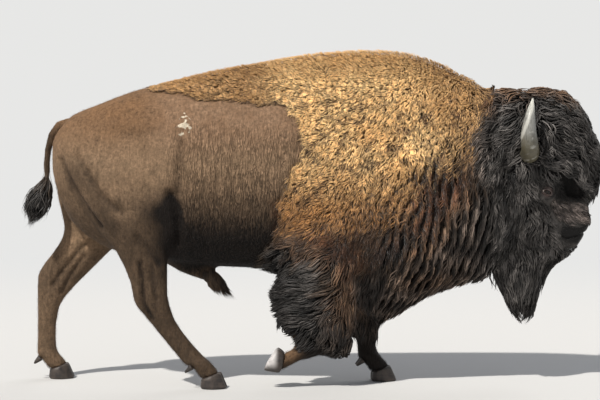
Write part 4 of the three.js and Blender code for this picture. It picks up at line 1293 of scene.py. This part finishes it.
def skin_light(finish, middle, fine):
    """How light each place on the skin is: painted shade under deep wool, random tone, and painted light
    and shade on the upright crinkles over the ribs.
    """
    gold_at, shade_and_dark_hair_at = finish.mark("marks")[0], finish.mark("more_marks")[1]
    _, depth_at, ribs_at = finish.mark("skin_marks")
    grain = finish.noise(170, 4, rough=0.7)
    streaks = finish.noise(1.0, 3, finish.place((70, 70, 13)))
    patchy = finish.step(finish.noise(9, 2), 0.3, 0.6)
    light = 1.0 - (0.70 - 0.12 * gold_at) * finish.step(depth_at, 0.1, 0.45)
    light = light + 1.3 * (fine - 0.5) + 0.9 * (middle - 0.5) + 1.3 * (grain - 0.5) + 0.9 * (streaks - 0.5)
    return light + (0.65 + 0.6 * shade_and_dark_hair_at) * ribs_at * patchy * (crinkles(finish) - 0.6)


def coat_colour(finish, lock):
    broad, middle, fine = finish.noise(3.5), finish.noise(14), finish.noise(70, 4)
    light = lock_light(finish, broad) if lock else skin_light(finish, middle, fine)
    grey = finish.node("ShaderNodeCombineColor", None, {0: light, 1: light, 2: light})
    return finish.mix(1.0, coat_hair(finish, broad, middle, fine), grey, "MULTIPLY")


# %% Three finishes of hair
def coat_finish(name, rough, sheen):
    finish = Finish(name, Roughness=rough, Specular_IOR_Level=0.25, Sheen_Weight=sheen, Sheen_Roughness=0.4)
    fibre = finish.node("ShaderNodeUVMap", {"uv_map": "Fibre"})
    streak = finish.noise(1.0, 2, finish.node("ShaderNodeMapping", None, {"Vector": fibre}))
    return finish.feed(Base_Color=coat_colour(finish, True), Normal=finish.bump(streak, 0.5, 0.002))


golden_wool = coat_finish("golden wool", 0.75, 0.15)
dark_wool = coat_finish("dark wool", 0.45, 0.02)
short_hair = coat_finish("short hair", 0.60, 0.08)
print("nodes in a coat finish:", len(dark_wool.node_tree.nodes))

# %% The finish of the skin
hide = Finish("hide", Specular_IOR_Level=0.15)
bare_at, _, short_at = hide.mark("skin_marks")
by_eye = hide.step(hide.axes()[2], 0.93, 0.97)
nap, leather = hide.noise(260, 3), hide.noise(120, 4)
tufted = hide.noise(1.0, 3, hide.place((70, 70, 13)))
relief = crinkles(hide) * short_at * 0.8 + nap * 0.30 + leather * bare_at * 0.8 + tufted * 0.35
# Painted highlights: the pale marks put small glints on the bare lids.
naked = hide.layers(hide.mix(by_eye, "#0e0c0b", "#64504a"), (hide.mark("more_marks")[0], "#c9b8b2"))
hide.feed(Base_Color=hide.mix(bare_at, coat_colour(hide, False), naked),
          Roughness=0.75 - 0.4 * bare_at, Coat_Weight=bare_at * by_eye,
          Normal=hide.bump(relief, 0.8, 0.010))
skin_mesh.materials.append(hide.material)
skin_mesh.polygons.foreach_set("use_smooth", np.ones(len(skin_mesh.polygons), bool))
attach(skin, "root")
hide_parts(*flesh)

# %% [markdown]
# ## The coat, piece by piece
# Every kind of coat is planted, combed and built in turn. A large one comes in a right
# and a left piece, and the cape in three, so that none grows too heavy.

# %% What each kind wears and covers
FINISHES = {"cape": (golden_wool, "cape"), "short": (short_hair, "rump"), "dock": (short_hair, "rump"),
            "shank": (short_hair, "shin"), "face": (short_hair, "dark_wool")}
COVERS = {"cape": ["forequarters", "neck"], "mane": ["neck", "forequarters"], "bonnet": ["head"],
          "face": ["head"], "bridge": ["head"], "cheek": ["head"], "beard": ["beard"],
          "dock": ["tail_dock"], "brush": ["tail_tuft"], "ear": ["ear_right", "ear_left"],
          "short": ["hindquarters"], "tassel": ["sheath"],
          "chaps": GROUPS["chaps"], "shank": GROUPS["shanks"]}
IN_TWO = ("mane", "bonnet", "cheek", "beard", "chaps", "short")


def mingle(found):
    """Makes each lock near the edge of the cape decide for itself which colour it has."""
    was = found[:, 0]
    gold_now = np.clip(was + chance.normal(0, 1.4, len(was)) * was * (1 - was), 0, 1)
    others = found[:, 1:] * ((1 - gold_now) / (1 - was + 1e-3))[:, None]
    return np.clip(np.column_stack([gold_now, others]), 0, 1)


def clear_of_eyes(line):
    """Whether each lock keeps off the eyes and out of the hollow in front of them."""
    gaps = [np.linalg.norm(line - np.array(EYE[name]), axis=2).min(1) for name in EYE]
    flat = line[:, :, [0, 2]].reshape(-1, 2)
    in_hollow = within(HOLLOW, 0.001, flat).reshape(line.shape[:2]).max(1) > 0.5
    return (np.minimum(*gaps) > 0.036) & ~in_hollow


# %% Grow every kind
total = 0
for kind in kinds:
    faces_at, weights = plant(kind)
    root_marks = mingle(at_face(marks, faces_at, weights))
    root_more = at_face(more_marks, faces_at, weights)
    root_map = np.einsum("nk,nkc->nc", weights, corner_map[faces_at])
    line, ups, lock = comb(kind, faces_at, weights)
    line, tone_of = gather(line, ups, lock, kind)
    kept = clear_of_eyes(line) if kind in ("bonnet", "cheek") else np.ones(len(line), bool)
    y = line[:, 0, 1]
    if kind == "cape":
        pieces = {"cape_right": y < -0.16, "cape_back": np.abs(y) <= 0.16, "cape_left": y > 0.16}
    elif kind in IN_TWO:
        pieces = {kind + "_right": y < 0, kind + "_left": y >= 0}
    else:
        pieces = {kind: kept}
    finish, slot = FINISHES.get(kind, (dark_wool, "dark_wool"))
    for name, chosen in pieces.items():
        chosen = chosen & kept
        piece = lock_mesh("coat_" + name, line[chosen], ups[chosen],
                          {f: values[chosen] for f, values in lock.items()}, tone_of[chosen],
                          root_map[chosen], root_marks[chosen], root_more[chosen])
        piece.data.materials.append(finish)
        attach(piece, "root")
        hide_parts(*COVERS[kind])
        total += len(piece.data.polygons)
        print(piece.name, "locks:", int(chosen.sum()), "triangles:", len(piece.data.polygons))
print("coat triangles:", total)

# %% [markdown]
# ## Horns
# A horn is a sheath of keratin over a core of bone. It leaves the side of the head
# level, then turns up and in. It is extruded ring by ring along that bend, with growth
# rings that fade towards the smooth, rubbed tip. The base is olive, the tip pale.

# %% The bend of a horn: points of its middle line, and its radius there, in metres
HORN = [(1.1225, 0.120, 1.228, 0.048), (1.1205, 0.215, 1.236, 0.048), (1.1115, 0.290, 1.268, 0.046),
        (1.1005, 0.325, 1.335, 0.041), (1.1045, 0.328, 1.405, 0.031), (1.1145, 0.310, 1.468, 0.018),
        (1.1255, 0.284, 1.521, 0.004)]
HORN_RINGS = 60
HORN_SIDES = 28


def smooth_path(knots, count):
    """Points evenly spread over a smooth curve through the knots."""
    k = np.array(knots)
    k = np.vstack([2 * k[0] - k[1], k, 2 * k[-1] - k[-2]])
    t = np.linspace(0, len(knots) - 1 - 1e-9, count)
    i = t.astype(int)
    f = (t - i)[:, None]
    a, b, c, d = k[i], k[i + 1], k[i + 2], k[i + 3]
    return b + 0.5 * f * (c - a + f * (2 * a - 5 * b + 4 * c - d + f * (3 * (b - c) + d - a)))


def finish_piece(mesh, finish, nodes):
    """Puts a finished mesh in the scene, in the place of its solids."""
    mesh.materials.append(finish.material)
    mesh.polygons.foreach_set("use_smooth", np.ones(len(mesh.polygons), bool))
    piece = link(mesh.name, mesh)
    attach(piece, "root")
    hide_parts(*nodes)
    print(piece.name, "triangles:", sum(len(p.vertices) - 2 for p in mesh.polygons))


# %% The finish of the horns
keratin = Finish("horn", Roughness=0.42, Specular_IOR_Level=0.45)
forward, _, height = keratin.axes()
cloud = keratin.noise(24, 4)
streak = keratin.noise(1.0, 4, keratin.place((150, 150, 14)))
# A pale diagonal line across the side of each horn.
pale_line = forward - 0.386 * height + cloud * 0.012 - 0.556
grey = keratin.mix(keratin.step(height + cloud * 0.08, 1.29, 1.42), "#5d5745", "#868580")
shade = keratin.layers(grey, (keratin.step(height + cloud * 0.05, 1.44, 1.54), "#cdcbc0"),
                       (keratin.step(streak, 0.46, 0.70) * 0.65, "#47433a"),
                       ((1 - keratin.step(pale_line * pale_line, 0.0, 0.00012)) * 0.45, "#d8d5ca"),
                       (keratin.step(cloud, 0.56, 0.70) * 0.5, "#c4c2b8"))
keratin.feed(Base_Color=shade, Normal=keratin.bump(streak + cloud, 0.5, 0.0015))

# %% Horns
for side_name, sign in (("right", -1), ("left", 1)):
    rings = smooth_path(HORN, HORN_RINGS)
    centre = rings[:, :3] * (1, sign, 1)
    ahead = unit(np.gradient(centre, axis=0))
    leading = unit(np.array([1.0, 0, 0]) - ahead * ahead[:, :1])
    top = np.cross(ahead, leading)
    s = np.linspace(0, 1, HORN_RINGS)
    ridge = 1 + 0.016 * np.sin(s * 150) * np.clip(1 - s * 1.4, 0, 1)
    shape = bmesh.new()
    bmesh.ops.create_circle(shape, cap_ends=True, segments=HORN_SIDES, radius=1.0)
    shape.faces.ensure_lookup_table()
    cap = shape.faces[0]
    around = np.linspace(0, 2 * math.pi, HORN_SIDES, endpoint=False)
    for i in range(HORN_RINGS):
        if i:
            cap = bmesh.ops.extrude_discrete_faces(shape, faces=[cap])["faces"][0]
        for vert, angle in zip(cap.verts, around):
            reach = rings[i, 3] * ridge[i] * (leading[i] * math.cos(angle) + top[i] * math.sin(angle))
            vert.co = centre[i] + reach
    bmesh.ops.holes_fill(shape, edges=[e for e in shape.edges if e.is_boundary])
    bmesh.ops.recalc_face_normals(shape, faces=shape.faces)
    finish_piece(mesh_of(shape, "horn_sheath_" + side_name), keratin, ["horn_" + side_name])

# %% [markdown]
# ## Eyes
# A bison's eye is large and very dark, with a wide flat pupil. The ball bulges a little
# in front, so it catches a small hard light. The colours are rings round the way it
# looks, and each point of the ball stores how far from that line it lies.

# %% Eyes
IRIS_REACH, PUPIL_WIDE, PUPIL_HIGH = 0.026, 0.0130, 0.0075
gel = Finish("eye", Roughness=0.10, Specular_IOR_Level=0.25, Coat_Weight=0.15, Coat_Roughness=0.03)
ring_at, pupil_at, _ = gel.mark("ring")
iris = gel.layers(gel.mix(gel.step(ring_at, 0.15, 0.45), "#301b0e", "#140b06"),
                  (gel.step(ring_at, 0.46, 0.55), "#3a2f2a"))
gel.feed(Base_Color=gel.mix(gel.step(pupil_at, 0.45, 0.55), "#040404", iris))
for side_name, sign in (("right", -1), ("left", 1)):
    shape = bmesh.new()
    bmesh.ops.create_uvsphere(shape, u_segments=40, v_segments=28, radius=EYE_RADIUS * 0.985)
    mesh = mesh_of(shape, "eyeball_" + side_name)
    ball = read(mesh.vertices, "co")
    off_axis = np.hypot(ball[:, 0], ball[:, 1])
    in_front = ball[:, 2] > 0
    rings_at = np.where(in_front, off_axis / IRIS_REACH, 1.0)
    pupil = np.where(in_front, np.hypot(ball[:, 0] / PUPIL_WIDE, ball[:, 1] / PUPIL_HIGH), 1.0)
    paint(mesh, "ring", np.clip(np.stack([rings_at, pupil, pupil * 0], 1), 0, 1))
    bulge = 1 + 0.045 * (1 - ease(off_axis, 0.004, 0.0125)) * in_front
    look = Vector((0.18, sign, 0.04)).to_track_quat("Z", "X").to_matrix()
    ball = (ball * bulge[:, None]) @ np.array(look).T + np.array(EYE[side_name])
    place_points(mesh, ball)
    finish_piece(mesh, gel, ["eye_" + side_name])

# %% [markdown]
# ## Hooves
# Each foot has two claws to walk on and two dewclaws behind. Their solids are cut with
# flat sides, so each is remeshed finely and evened out until the edges are as round as
# worn hoof. Rings of growth are left to the finish, and so is the pale patch on the wall of
# the lifted foot.

# %% The finish of the hooves
wall = Finish("hoof", Roughness=0.5, Specular_IOR_Level=0.4)
forward, _, height = wall.axes()
bands = wall.noise(1.0, 2, wall.place((6, 6, 230)))
fibre = wall.noise(1.0, 2, wall.place((260, 260, 10)))
stain = wall.noise(30, 3)
lifted = wall.step(forward, -0.32, -0.27) * (1 - wall.step(forward, -0.225, -0.19))
lifted = lifted * wall.step(height, 0.03, 0.06)
# A pale patch on the wall of the lifted foot.
pale_wall = lifted * wall.step(height, 0.095, 0.14) * wall.step(stain + fibre * 0.3, 0.35, 0.6)
shade = wall.layers(wall.mix(wall.step(stain, 0.35, 0.7), "#2b2624", "#453c36"),
                    (wall.step(bands, 0.5, 0.7) * 0.4, "#5a5048"), (pale_wall, "#cdc8c5"))
wall.feed(Base_Color=shade, Normal=wall.bump(bands + fibre * 0.5, 0.6, 0.0015))


# %% Hooves
FOLDED_BACK = math.radians(123)


def rounded(mesh, times, pitch, taller):
    """Softens a claw, stretches it back to its size along the foot, and makes it taller."""
    to_toe, to_leg = (math.cos(pitch), 0, -math.sin(pitch)), (math.sin(pitch), 0, math.cos(pitch))
    axes = np.array([to_toe, (0, 1, 0), to_leg])
    was = read(mesh.vertices, "co")
    now = Net(mesh).soften(was, times) @ axes.T
    was = was @ axes.T
    low, high = now.min(0), now.max(0)
    size = was.max(0) - was.min(0) + (0, 0, taller)
    return (was.min(0) + (now - low) / (high - low) * size) @ axes


for leg in LEGS:
    nodes = sorted(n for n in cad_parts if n.startswith(leg) and "claw" in n)
    folded = leg == "fore_right"
    foot = bmesh.new()
    for node in nodes:
        small = "dewclaw" in node
        part_mesh = voxel_skin(heap_of([node], 0.0), 0.0035 if small else 0.0048)
        times = 8 if small else 45 if folded else 12
        claw = rounded(part_mesh, times, FOLDED_BACK if folded else 0, 0 if small else 0.007)
        place_points(part_mesh, claw)
        foot.from_mesh(part_mesh)
        bpy.data.meshes.remove(part_mesh)
    finish_piece(mesh_of(foot, "hooves_" + leg), wall, nodes)
